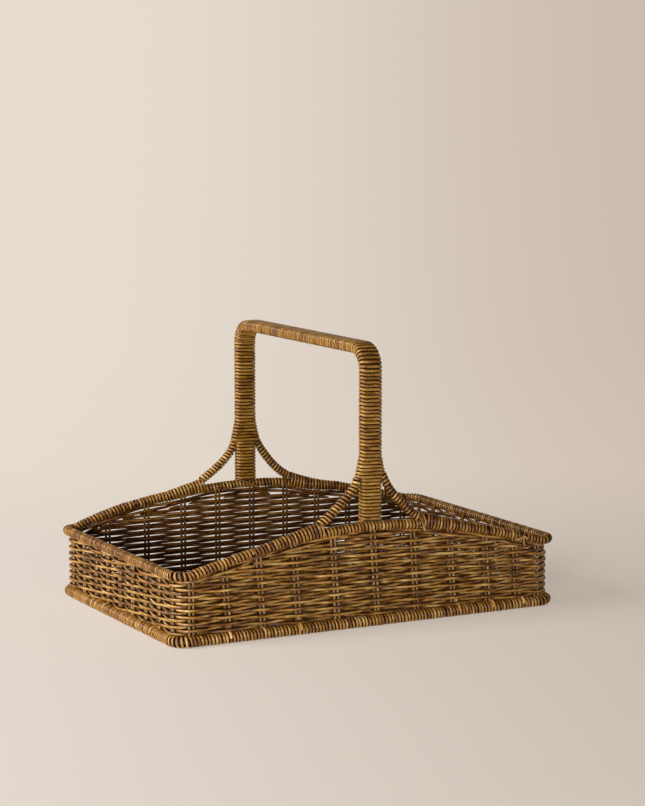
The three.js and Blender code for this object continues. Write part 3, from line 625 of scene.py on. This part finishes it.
handle = dict(
    bendRadius=0.0195,
    inward=0.0021,  # how far the posts stand inside the rim's middle line
    stepHeight=0.007,  # above it, over which the strap steps in
    aside=-0.0011,
    lift=0.0007,
    wider=0.0009,  # than the bound handle's plain sleeve
    thicker=0.0009,
    stops=40,  # on a post, on a bend and on half the bar
    Strand=0.0026, Width=0.0033, Pitch=0.00345, Squareness=5.0, Wander=0.035, Steps=24,
)
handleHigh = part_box("handle_binding")[1]
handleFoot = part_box("near_collar")[1].z
strapLow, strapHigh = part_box("handle_strap")
postHalf = handleHigh.x + handle["wider"] / 2  # half the bound handle's width
handleThickness = 2 * (handleHigh.y - rimHalfWidth) + handle["thicker"]
handleAcross = postHalf - handle["Strand"] / 2
handleOver = (handleThickness - handle["Strand"]) / 2
barMiddle = handleHigh.z - handleThickness / 2 + handle["lift"]
postWall = rimHalfWidth - handle["inward"]
lengthwise = Vector((1, 0, 0))


# The handle's middle line from the near foot over to the far one
def handleLine(foot):
    radius = handle["bendRadius"]
    bendY = postWall - radius
    bendZ = barMiddle - radius
    shares = [i / handle["stops"] for i in range(handle["stops"])]
    half = [(-postWall, foot + (bendZ - foot) * share) for share in shares]
    for share in shares:
        angle = share * math.pi / 2
        half.append((-bendY - radius * math.cos(angle), bendZ + radius * math.sin(angle)))
    half += [(bendY * (share - 1), barMiddle) for share in shares]
    line = half + [(0, barMiddle)] + [(-y, z) for y, z in reversed(half)]
    return [Vector((handle["aside"], y, z)) for y, z in line]


def strapMesh():
    foot = rimHeight(0)
    line = handleLine(foot)
    for place in line:
        stepIn = handle["inward"] * (1 - min((place.z - foot) / handle["stepHeight"], 1))
        place.y += math.copysign(stepIn, place.y)
    halfWidth = (strapHigh.x - strapLow.x) / 2
    halfThickness = strapHigh.y - rimHalfWidth
    places, faces = [], []
    for i, place in enumerate(line):
        onward = (line[min(i + 1, len(line) - 1)] - line[max(i - 1, 0)]).normalized()
        out = onward.cross(lengthwise)
        for across, above in ((-1, -1), (1, -1), (1, 1), (-1, 1)):
            places.append(place + lengthwise * across * halfWidth + out * above * halfThickness)
        if i:
            first = 4 * (i - 1)
            for k in range(4):
                faces.append((first + k, first + (k + 1) % 4, first + 4 + (k + 1) % 4, first + 4 + k))
    faces += [(3, 2, 1, 0), tuple(len(places) - 4 + k for k in range(4))]
    mesh = bpy.data.meshes.new("handleStrap")
    mesh.from_pydata(places, [], faces)
    shape = bmesh.new()
    shape.from_mesh(mesh)
    bmesh.ops.recalc_face_normals(shape, faces=shape.faces)
    shape.to_mesh(mesh)
    shape.free()
    mesh.materials.append(steel)
    return mesh


finish(newObject("handleStrap", strapMesh()), ["handle_strap"])
handlePath = [(place, lengthwise, -handleAcross, handleOver) for place in handleLine(handleFoot)]
wind("handleBindingTurns", [handlePath], handle, ["handle_binding"], 7)

collar = dict(
    foot=0.142,  # underside of the first turn round the braces' tops
    halfWidth=0.0162,  # there, outside the turns
    entry=0.0022,  # height in which the turns widen
    narrowing=0.85,  # power with which they narrow again
    stops=160,
    Strand=0.0026, Width=0.0032, Pitch=0.00332, Squareness=4.5, Wander=0.035, Steps=24,
)


def collarPath(wall):
    foot = rimHeight(0) + rim["bound"] / 2
    stops = []
    for i in range(collar["stops"] + 1):
        z = foot + (handleFoot - foot) * i / collar["stops"]
        widened = clamped((z - collar["foot"] + collar["entry"]) / collar["entry"])
        narrowed = clamped((z - collar["foot"]) / (handleFoot - collar["foot"])) ** collar["narrowing"]
        across = handleAcross + (collar["halfWidth"] - postHalf) * widened * (1 - narrowed)
        stops.append((Vector((handle["aside"], wall, z)), lengthwise, -across, handleOver))
    return stops


for name, sign in (("near", -1), ("far", 1)):
    wind(name + "CollarTurns", [collarPath(sign * postWall)], collar, [name + "_collar"], 11 + sign)

# Each brace from the collar down to its landing, x and z along its middle line
brace = dict(
    bound=0.0091,
    topBound=0.0082,
    thickening=0.3,  # share of the way down over which it gets its full thickness
    routes={
        "near_left": ((-0.0150, 0.1430), (-0.0192, 0.1339), (-0.0248, 0.1268), (-0.0321, 0.1197),
                      (-0.0395, 0.1131), (-0.0478, 0.1065), (-0.0551, 0.1013)),
        "near_right": ((0.0108, 0.1435), (0.0150, 0.1345), (0.0201, 0.1265), (0.0255, 0.1209),
                       (0.0312, 0.1154), (0.0377, 0.1091), (0.0453, 0.1028), (0.0520, 0.0985)),
        "far_left": ((-0.0115, 0.1430), (-0.0157, 0.1321), (-0.0211, 0.1252), (-0.0269, 0.1194),
                     (-0.0331, 0.1144), (-0.0399, 0.1095), (-0.0490, 0.1035)),
        "far_right": ((0.0112, 0.1430), (0.0172, 0.1318), (0.0223, 0.1246), (0.0281, 0.1174),
                      (0.0350, 0.1103), (0.0420, 0.1048), (0.0495, 0.1000)),
    },
    seeds={"near_left": 28, "near_right": 31, "far_left": 27, "far_right": 30},
    stopStep=0.001,
    Strand=0.0026, Width=0.0033, Pitch=0.00358, Wander=0.05, Slack=0.03,
)
braceRod = dict(
    top=((0.0094, 0.1580), (0.0095, 0.1500)),  # above each route, x from the handle's middle
    tail=((0.0800, 0.0930), (0.1000, 0.0870)),  # past its end, x from the basket's middle
    Strand=0.0032, Step=0.003, Wander=0.0,
)


# The same points with a smooth curve between them
def smoothPath(points, step):
    path = []
    for i in range(len(points) - 1):
        before = points[max(i - 1, 0)]
        start, end = points[i], points[i + 1]
        after = points[min(i + 2, len(points) - 1)]
        count = max(2, round((end - start).length / step))
        for k in range(count):
            t = k / count
            path.append(0.5 * ((2 * start) + (end - before) * t
                               + (2 * before - 5 * start + 4 * end - after) * t * t
                               + (3 * start - before - 3 * end + after) * t ** 3))
    path.append(points[-1])
    return path


def braceWinding(points):
    path = smoothPath(points, brace["stopStep"])
    full = (brace["bound"] - brace["Strand"]) / 2
    slim = (brace["topBound"] - brace["Strand"]) / 2
    stops = []
    for i, place in enumerate(path):
        reach = slim + (full - slim) * min(i / (len(path) * brace["thickening"]), 1)
        stops.append((place, Vector((0, 1, 0)), reach, reach))
    return stops


# The tall turns that take in the rim and the landing brace, lower and lower towards the corner
def jointWinding(corner, sideways, wall):
    stops = []
    start = jointStart(sideways, wall)
    for i in range(rim["jointStops"] + 1):
        share = i / rim["jointStops"]
        x = start + (rim["jointEnd"] - start) * share
        rise = rim["jointRise"] * (1 - share) ** rim["jointFall"]
        drop = rim["jointDrop"].get(corner, 0) * plateau(x - start, brace["Pitch"])
        place = Vector((sideways * x, wall, rimHeight(sideways * x, wall) + (rise - drop) / 2))
        stops.append((place, Vector((0, 1, 0)), rimReach, rimReach + (rise + drop) / 2))
    return stops


for corner, route in brace["routes"].items():
    wallName, sideName = corner.split("_")
    sideways = -1 if sideName == "left" else 1
    wall = -rimHalfWidth if wallName == "near" else rimHalfWidth
    title = wallName + sideName.capitalize()
    points = [Vector((x, wall, z)) for x, z in route]
    wind(title + "BraceTurns", [braceWinding(points), jointWinding(corner, sideways, wall)], brace,
         [corner + "_brace_binding"], brace["seeds"][corner], material=ringCane)
    rodPoints = [Vector((sideways * x + handle["aside"], wall, z)) for x, z in braceRod["top"]] + points
    rodPoints += [Vector((sideways * x, wall, z)) for x, z in braceRod["tail"]]
    lay(title + "BraceRod", [[(place,) for place in rodPoints]], braceRod, [corner + "_brace_rod"], 40,
        steel, standingStrand)

print("frame bound")


# Stakes, each of two canes side by side

stakes = dict(
    counts={"near": 9, "far": 9, "left": 7, "right": 7},
    spread=0.004,  # between the two canes of a stake
    lean=0.004,  # of the near stakes, over leanHeight
    leanHeight=0.060,
    topGap=0.001,  # below the rim's middle line
    footDepth=0.003,  # below the base's top
    Strand=0.0025, Step=0.004, Wander=0.00025,
)


def stakeNodes(wall):
    return [f"{wall}_stake_{i}" for i in range(1, stakes["counts"][wall] + 1)]


wallX = middleOf("right_stake_1").x
wallY = middleOf("far_stake_1").y
nearX = [middleOf(node).x for node in stakeNodes("near")]
farX = [middleOf(node).x for node in stakeNodes("far")]
sideY = [middleOf(node).y for node in stakeNodes("left")]
pairHalf = (stakes["spread"] + stakes["Strand"]) / 2
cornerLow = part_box("far_right_corner_stake")[0]
cornerX = cornerLow.x + pairHalf
cornerY = cornerLow.y + pairHalf
baseTop = baseHigh.z


def leanAt(z):
    return -stakes["lean"] * (z - baseTop - stakes["leanHeight"] / 2) / stakes["leanHeight"]


def canePair(x, y, onLong, leans=False):
    top = rimHeight(x, y, onLong) - stakes["topGap"]
    foot = baseTop - stakes["footDepth"]
    canes = []
    for shift in (-stakes["spread"] / 2, stakes["spread"] / 2):
        stops = []
        for z in (foot, (foot + top) / 2, top):
            slant = leanAt(z) if leans else 0
            stops.append((Vector((x + shift + slant, y, z) if onLong else (x, y + shift, z)),))
        canes.append(stops)
    return canes


wallPairs = {
    "near": [canePair(x, -wallY, True, True) for x in nearX],
    "far": [canePair(x, wallY, True) for x in farX],
    "left": [canePair(-wallX, y, False) for y in sideY],
    "right": [canePair(wallX, y, False) for y in sideY],
}
for number, (wallName, pairs) in enumerate(wallPairs.items()):
    lay(wallName + "StakeCanes", [cane for pair in pairs for cane in pair], stakes, stakeNodes(wallName),
        60 + number, shadedStakeCane if wallName == "far" else stakeCane, standingStrand)
cornerCanes = []
for sx in (-1, 1):
    for sy in (-1, 1):
        cornerCanes += canePair(sx * cornerX, sy * wallY, True) + canePair(sx * wallX, sy * cornerY, False)
cornerNodes = [f"{y}_{x}_corner_stake" for y in ("near", "far") for x in ("left", "right")]
lay("cornerStakeCanes", cornerCanes, stakes, cornerNodes, 70, stakeCane, standingStrand)


# Weaving

weave = dict(
    rowPitch=0.00313,
    firstRow=0.0014,  # middle of the lowest row, over the base binding
    rows=16,
    amplitude=0.0029,
    climbStations=4,  # stakes over which a weaver climbs two rows
    firstEnds=((3, 2, 1), (1,)),  # stakes before the middle of the right-hand side where each weaver starts
    lastLift=0.0009,  # of the last turns, towards the rim
    farThick=0.96,  # of the strands where they run along the far wall
    sideThick=0.97,  # and along the short sides
    fillShare=0.55,  # of a row's height that must be free where a packing row starts
    fillStep=0.001,  # of the search for that place
    endClear=0.004,  # from it to the first stake that the row passes
    tail=0.007,  # how far a packing row runs on past its last full width
    tailDrop=0.0009,
    tailThin=0.45,
    Strand=0.00318, Step=0.0024, Wander=0.00033,
)


# Where a weaver passes, anticlockwise from the middle of the right-hand side: each stake, and each corner's
# own bend, with the way out of the basket there
def walkRound():
    stations = []
    middle = len(sideY) // 2
    diagonal = math.sqrt(0.5)

    def place(x, y, nx, ny, passes=True, leans=False):
        number = sum(station["passes"] for station in stations)
        stations.append(dict(x=x, y=y, nx=nx, ny=ny, passes=passes, leans=leans, number=number))

    def corner(sx, sy):
        shift = (wallX - cornerX - stakes["spread"] / 2) * (1 - diagonal)
        place(sx * (wallX - shift), sy * (wallY - shift), sx * diagonal, sy * diagonal, False)

    for y in sideY[middle:] + [cornerY]:
        place(wallX, y, 1, 0)
    corner(1, 1)
    for x in [cornerX] + farX[::-1] + [-cornerX]:
        place(x, wallY, 0, 1)
    corner(-1, 1)
    for y in [cornerY] + sideY[::-1] + [-cornerY]:
        place(-wallX, y, -1, 0)
    corner(-1, -1)
    place(-cornerX, -wallY, 0, -1)
    for x in nearX:
        place(x, -wallY, 0, -1, leans=True)
    place(cornerX, -wallY, 0, -1)
    corner(1, -1)
    for y in [-cornerY] + sideY[:middle]:
        place(wallX, y, 1, 0)
    return stations


stations = walkRound()


def rowHeight(row):
    return baseTop + weave["firstRow"] + weave["rowPitch"] * row


# How far the rim stands above its height at the corners
def archRise(x, y):
    return rimHeight(x, y) - rimCorner


def archAt(station):
    return archRise(station["x"], station["y"]) if station["nx"] == 0 else 0


# 1 outside the stake, -1 inside it
def sideAt(station, row):
    if not station["passes"]:
        return 0
    return 1 if (station["number"] + row) % 2 == 0 else -1


def thickAt(station):
    if station["nx"]:
        return weave["sideThick"]
    return weave["farThick"] if station["ny"] > 0 else 1.0


def weavePoint(station, row, z):
    reach = weave["amplitude"] * sideAt(station, row)
    x = station["x"] + station["nx"] * reach + (leanAt(z) if station["leans"] else 0)
    return Vector((x, station["y"] + station["ny"] * reach, z))


# Two weavers take turns. Each climbs two rows on the right-hand side, and its last turn follows the arch.
def weaverPath(which):
    turns = weave["rows"] // 2
    count = len(stations)
    path = []
    for i in weave["firstEnds"][which]:
        station = stations[count - i]
        thick = thickAt(station) if path else weave["tailThin"]
        path.append((weavePoint(station, which, rowHeight(which)), thick, sideAt(station, which)))
    for turn in range(turns):
        row = 2 * turn + which
        last = turn == turns - 1
        for i, station in enumerate(stations):
            toGo = count - i
            if last and toGo <= weave["climbStations"]:
                break
            z = rowHeight(row + 2 * max(0, 1 - (toGo - 1) / weave["climbStations"]))
            if last:
                z += weave["lastLift"] + archAt(station)
            point = weavePoint(station, row, z)
            before = stations[i - 1]
            if station["passes"] and before["passes"]:
                middle = (path[-1][0] + point) / 2
                if station["nx"] == 0:
                    middle.y = station["y"]
                    if last:
                        middle.z += archRise(middle.x, station["y"]) - (archAt(station) + archAt(before)) / 2
                else:
                    middle.x = station["x"]
                path.append((middle, thickAt(station), 0.0))
            path.append((point, thickAt(station), sideAt(station, row)))
    return path


for which, name in enumerate(("first", "second")):
    lay(name + "WeaverStrand", [weaverPath(which)], weave, [name + "_weaver"], 80 + which,
        weaveCane)


# How far out on a wall the rim leaves this much room over the corners' height
def roomEnd(way, wallSign, need):
    x = rimHalfLength - rim["cornerRadius"]
    while x > 0 and archRise(way * x, wallSign) < need:
        x -= weave["fillStep"]
    return way * x


# Rows that fill the arch from the weavers' last turns up, each as long as there is room for it
def packingPaths(wallSign):
    wall = sorted((s for s in stations if s["ny"] == wallSign), key=lambda s: s["x"])
    wallPlace = wallSign * wallY
    thick = thickAt(wall[0])
    paths = []
    while (len(paths) + weave["fillShare"]) * weave["rowPitch"] < rimRise:
        row = weave["rows"] - 2 + len(paths)
        need = (len(paths) + weave["fillShare"]) * weave["rowPitch"]
        left, right = roomEnd(-1, wallSign, need), roomEnd(1, wallSign, need)
        tooHigh = max(0, (len(paths) + 1) * weave["rowPitch"] - rimRise - weave["lastLift"])
        z = rowHeight(row) - tooHigh / 2
        tailZ = z - weave["tailDrop"]
        stops = [(Vector((left - weave["tail"], wallPlace, tailZ)), weave["tailThin"], 0),
                 (Vector((left, wallPlace, z)), thick, 0)]
        for station in wall:
            if left + weave["endClear"] < station["x"] < right - weave["endClear"]:
                point = weavePoint(station, row, z)
                middle = (stops[-1][0] + point) / 2
                middle.y = wallPlace
                stops += [(middle, thick, 0.0), (point, thick, sideAt(station, row))]
        stops += [(Vector((right, wallPlace, z)), thick, 0),
                  (Vector((right + weave["tail"], wallPlace, tailZ)), weave["tailThin"], 0)]
        if wallSign > 0:
            stops.reverse()
        paths.append(stops)
    return paths


for name, sign in (("near", -1), ("far", 1)):
    lay(name + "PackingStrand", packingPaths(sign), weave, [name + "_packing_strand"], 90 + sign,
        weaveCane)
print("walls woven")


# Ends of stakes that bend out over the base

stakeEnd = dict(
    near=(-0.148, -0.113, -0.076, 0.094, 0.132, 0.166),
    left=(-0.085, -0.02, 0.045),
    angles=(125, 95, 65, 35, 5),  # round the base's middle, from over its inner side to its outer side
    rise=0.006,  # over the base, where the bend starts
    proud=0.0003,  # of the base's sleeve
    Strand=0.0027, Step=0.0012, Wander=0.0001,
)


def stakeEndPath(x, y, out):
    reach = baseBound / 2 + stakeEnd["proud"]
    stops = [(Vector((x, y, baseTop + stakeEnd["rise"])) - out * (baseHalfWidth - wallY),)]
    for angle in stakeEnd["angles"]:
        turned = math.radians(angle)
        place = Vector((x, y, baseMiddle)) + out * reach * math.cos(turned) + up * reach * math.sin(turned)
        stops.append((place,))
    return stops


stakeEndPaths = [stakeEndPath(x, -baseHalfWidth, Vector((0, -1, 0))) for x in stakeEnd["near"]]
stakeEndPaths += [stakeEndPath(-baseHalfLength, y, Vector((-1, 0, 0))) for y in stakeEnd["left"]]
lay("stakeEnds", stakeEndPaths, stakeEnd, [], 101, endCane, standingStrand)


# Lashings at the handle's feet, from the top of the rim down its inner side

lashing = dict(
    left=-0.0105,
    length=0.024,
    startAngle=15,  # degrees from the rim's top
    turn=135,
    stops=8,
    proud=0.0009,  # of the bound rim
    Strand=0.0026, Step=0.0014, Wander=0.0002,
)


def lashingPath(wallSign):
    reach = rim["bound"] / 2 + lashing["proud"]
    stops = []
    for i in range(lashing["stops"] + 1):
        share = i / lashing["stops"]
        angle = math.radians(lashing["startAngle"] + lashing["turn"] * share)
        x = lashing["left"] + lashing["length"] * share
        y = wallSign * (rimHalfWidth - reach * math.sin(angle))
        stops.append((Vector((x, y, rimHeight(x) + reach * math.cos(angle))),))
    return stops


lay("handleLashings", [lashingPath(-1), lashingPath(1)], lashing, [], 103, bindingCane)


# Floor

floorSticks = dict(
    spread=0.003,
    spans=4,  # between the base's short sides, parted by the cross rods
    pairsPerSpan=3,
    margin=0.006,  # from the mat's end
    Strand=0.0018, Step=0.006, Wander=0.0002, Sides=6,
)
floorWeave = dict(
    bandStrands=5,  # strands that pass over and under together
    bands=21,
    Strand=0.0022, Step=0.004, Wander=0.00015, Sides=6,
)
matLow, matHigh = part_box("woven_floor")
matSwing = (floorSticks["Strand"] + floorWeave["Strand"]) / 2
matLevel = matHigh.z - matSwing - floorWeave["Strand"] / 2


def stickPlaces():
    gap = middleOf("floor_cross_rod_3").x / floorSticks["pairsPerSpan"]
    half = floorSticks["spans"] * floorSticks["pairsPerSpan"] // 2
    xs = [gap * (i + 0.5) for i in range(-half, half)]
    return [x for x in xs if abs(x) < matHigh.x - floorSticks["margin"]]


def pairOf(x):
    return x - floorSticks["spread"] / 2, x + floorSticks["spread"] / 2


def floorRow(row, xs):
    pitch = (matHigh.y - matLow.y) / (floorWeave["bands"] * floorWeave["bandStrands"])
    y = matLow.y + pitch * (row + 0.5)
    path = [(matLow.x, matLevel)]
    for i, x in enumerate(xs):
        side = 1 if (i + row // floorWeave["bandStrands"]) % 2 == 0 else -1
        path += [(stick, matLevel + side * matSwing) for stick in pairOf(x)]
        if i + 1 < len(xs):
            path.append(((x + xs[i + 1]) / 2, matLevel))
    path.append((matHigh.x, matLevel))
    return [(Vector((x, y, z)),) for x, z in path]


stickXs = stickPlaces()
rows = [floorRow(row, stickXs) for row in range(floorWeave["bands"] * floorWeave["bandStrands"])]
sticks = [[(Vector((stick, y, matLevel)),) for y in (matLow.y, 0, matHigh.y)]
          for x in stickXs for stick in pairOf(x)]
lay("floorWeave", rows, floorWeave, ["woven_floor"], 111, floorCane)
lay("floorSticks", sticks, floorSticks, [], 113, floorCane)

# The steel under the cane keeps its own solids and gets its paint
for name in ("rim_frame_rod", "base_frame_rod", "floor_cross_rod_1", "floor_cross_rod_2",
             "floor_cross_rod_3"):
    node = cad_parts[name]
    node.data.materials.clear()
    node.data.materials.append(steel)
print("floor laid")


# Studio: one sheet that runs from the floor up the wall behind, and soft lamps. Distances are in metres from
# the basket's middle, as the camera looks.

studio = dict(
    halfWidth=4.0,
    front=3.0,
    back=1.9,  # to the foot of the sweep
    sweep=1.0,
    sweepSteps=16,
    height=3.0,
    paper=colour(242, 232, 228),
    grain=90.0,  # to a metre
    grainDetail=3.0,
    grainTint=(0.99, 1.01),
    # painted light on the paper: lighter behind the basket and darker towards the right
    paperDepth=(-0.6, 0.6),  # from before to behind the basket
    depthPaintedLight=(1.0, 1.13),  # of the paper, over that depth
    paperAcross=(-0.3, 0.3),
    acrossPaintedShade=(1.03, 0.885),  # and from left to right
    roughness=0.85,
    specular=0.15,
    # painted light: the paper glows for the camera with these colours, lighter on the left, and near the
    # basket part of that glow lies on the floor and lightens its shadows
    leftShade=colour(229, 219, 206),  # of the sheet behind, at the picture's left edge
    rightShade=colour(203, 188, 175),
    shadeAcross=(-0.45, 0.75),
    shadeOnFloor=0.62,  # how much of that shade the floor has near the basket
    fadeDepth=(0.1, 0.85),  # where the floor takes on the rest of it
    underFade=0.02,  # inside the base's outline, where that shade ends
    world=colour(240, 222, 205),
    worldStrength=0.08,
    lampAim=(0, 0, 0.08),
    key=dict(aside=-2.6, ahead=-1.1, up=1.8, size=1.8, power=104.0, tint=(1.0, 0.98, 0.95)),
    fill=dict(aside=-0.5, ahead=-2.6, up=0.3, size=0.55, power=43.0, tint=(1.0, 0.97, 0.93)),
)


def sweepMesh():
    back, sweep = studio["back"], studio["sweep"]
    outline = [(-studio["front"], 0.0), (back, 0.0)]
    for i in range(1, studio["sweepSteps"] + 1):
        angle = math.pi / 2 * i / studio["sweepSteps"]
        outline.append((back + sweep * math.sin(angle), sweep * (1 - math.cos(angle))))
    outline.append((back + sweep, studio["height"]))
    places, faces = [], []
    for distance, z in outline:
        for side in (-1, 1):
            places.append(ahead * distance + toRight * side * studio["halfWidth"] + up * z)
    for i in range(len(outline) - 1):
        faces.append((2 * i, 2 * i + 1, 2 * i + 3, 2 * i + 2))
    mesh = bpy.data.meshes.new("paperSweep")
    mesh.from_pydata(places, [], faces)
    for face in mesh.polygons:
        face.use_smooth = True
    return mesh


# Paper that takes light near the basket, where part of a painted glow also lightens its shadows. Further back
# the camera sees only a painted glow, lighter on the left than on the right, and under the basket it has no
# glow, only the light that reaches it.
def paperMaterial():
    material, wires, shader = newMaterial("palePaper")
    place = wires.put("ShaderNodeTexCoord", output="Object")

    def reach(direction):
        both = {0: place, 1: direction}
        return wires.put("ShaderNodeVectorMath", both, output="Value", operation="DOT_PRODUCT")

    grain = wires.noise(place, studio["grain"], studio["grainDetail"])
    depth, across = reach(ahead), reach(toRight)
    # the paper's grain, times its painted light from front to back and its painted shade from left to right
    tint = wires.times(wires.graded(grain, 0.0, 1.0, *studio["grainTint"]),
                       wires.graded(across, *studio["paperAcross"], *studio["acrossPaintedShade"]))
    tint = wires.times(tint, wires.graded(depth, *studio["paperDepth"], *studio["depthPaintedLight"]))
    wires.feed(shader.inputs["Base Color"], wires.stretch(studio["paper"][:3], tint))
    shader.inputs["Roughness"].default_value = studio["roughness"]
    shader.inputs["Specular IOR Level"].default_value = studio["specular"]

    # painted light: a glow for camera rays, lighter on the left and darker on the right, which near the
    # basket also lightens the floor's real shadows
    share = wires.graded(across, *studio["shadeAcross"], shape="SMOOTHSTEP")
    shade = wires.blended(share, studio["leftShade"], studio["rightShade"])
    glow = wires.put("ShaderNodeEmission", {"Color": shade, "Strength": 1.0})
    behind = wires.graded(depth, *studio["fadeDepth"], studio["shadeOnFloor"], 1.0, "SMOOTHSTEP")
    spots = wires.vector("ABSOLUTE", place)
    pastEnd = wires.graded(wires.axis(spots, "X"), baseHalfLength - studio["underFade"], baseHalfLength)
    pastSide = wires.graded(wires.axis(spots, "Y"), baseHalfWidth - studio["underFade"], baseHalfWidth)
    behind = wires.times(behind, wires.maths("MAXIMUM", pastEnd, pastSide))
    seen = wires.put("ShaderNodeLightPath", output="Is Camera Ray")
    for ray in ("Is Glossy Ray", "Is Transmission Ray"):
        seen = wires.maths("MAXIMUM", seen, wires.put("ShaderNodeLightPath", output=ray))
    glowing = wires.times(behind, seen)
    surface = wires.put("ShaderNodeMixShader", {0: glowing, 1: shader.outputs["BSDF"], 2: glow})
    wires.feed(wires.tree.nodes["Material Output"].inputs["Surface"], surface)
    return material


sheet = newObject("paperSweep", sweepMesh())
sheet.data.materials.append(paperMaterial())


def softLamp(name, look):
    data = bpy.data.lights.new(name, "AREA")
    data.shape = "DISK"
    data.size = look["size"]
    data.energy = look["power"]
    data.color = look["tint"]
    lamp = newObject(name, data)
    lamp.location = toRight * look["aside"] + ahead * look["ahead"] + up * look["up"]
    lamp.rotation_euler = (Vector(studio["lampAim"]) - lamp.location).to_track_quat("-Z", "Y").to_euler()


softLamp("keyLamp", studio["key"])
softLamp("fillLamp", studio["fill"])

world = bpy.data.worlds.new("softWorld")
world.use_nodes = True
worldShade = world.node_tree.nodes["Background"]
worldShade.inputs["Color"].default_value = studio["world"]
worldShade.inputs["Strength"].default_value = studio["worldStrength"]
bpy.context.scene.world = world
bpy.context.scene.view_settings.view_transform = "Standard"
print("studio lit")
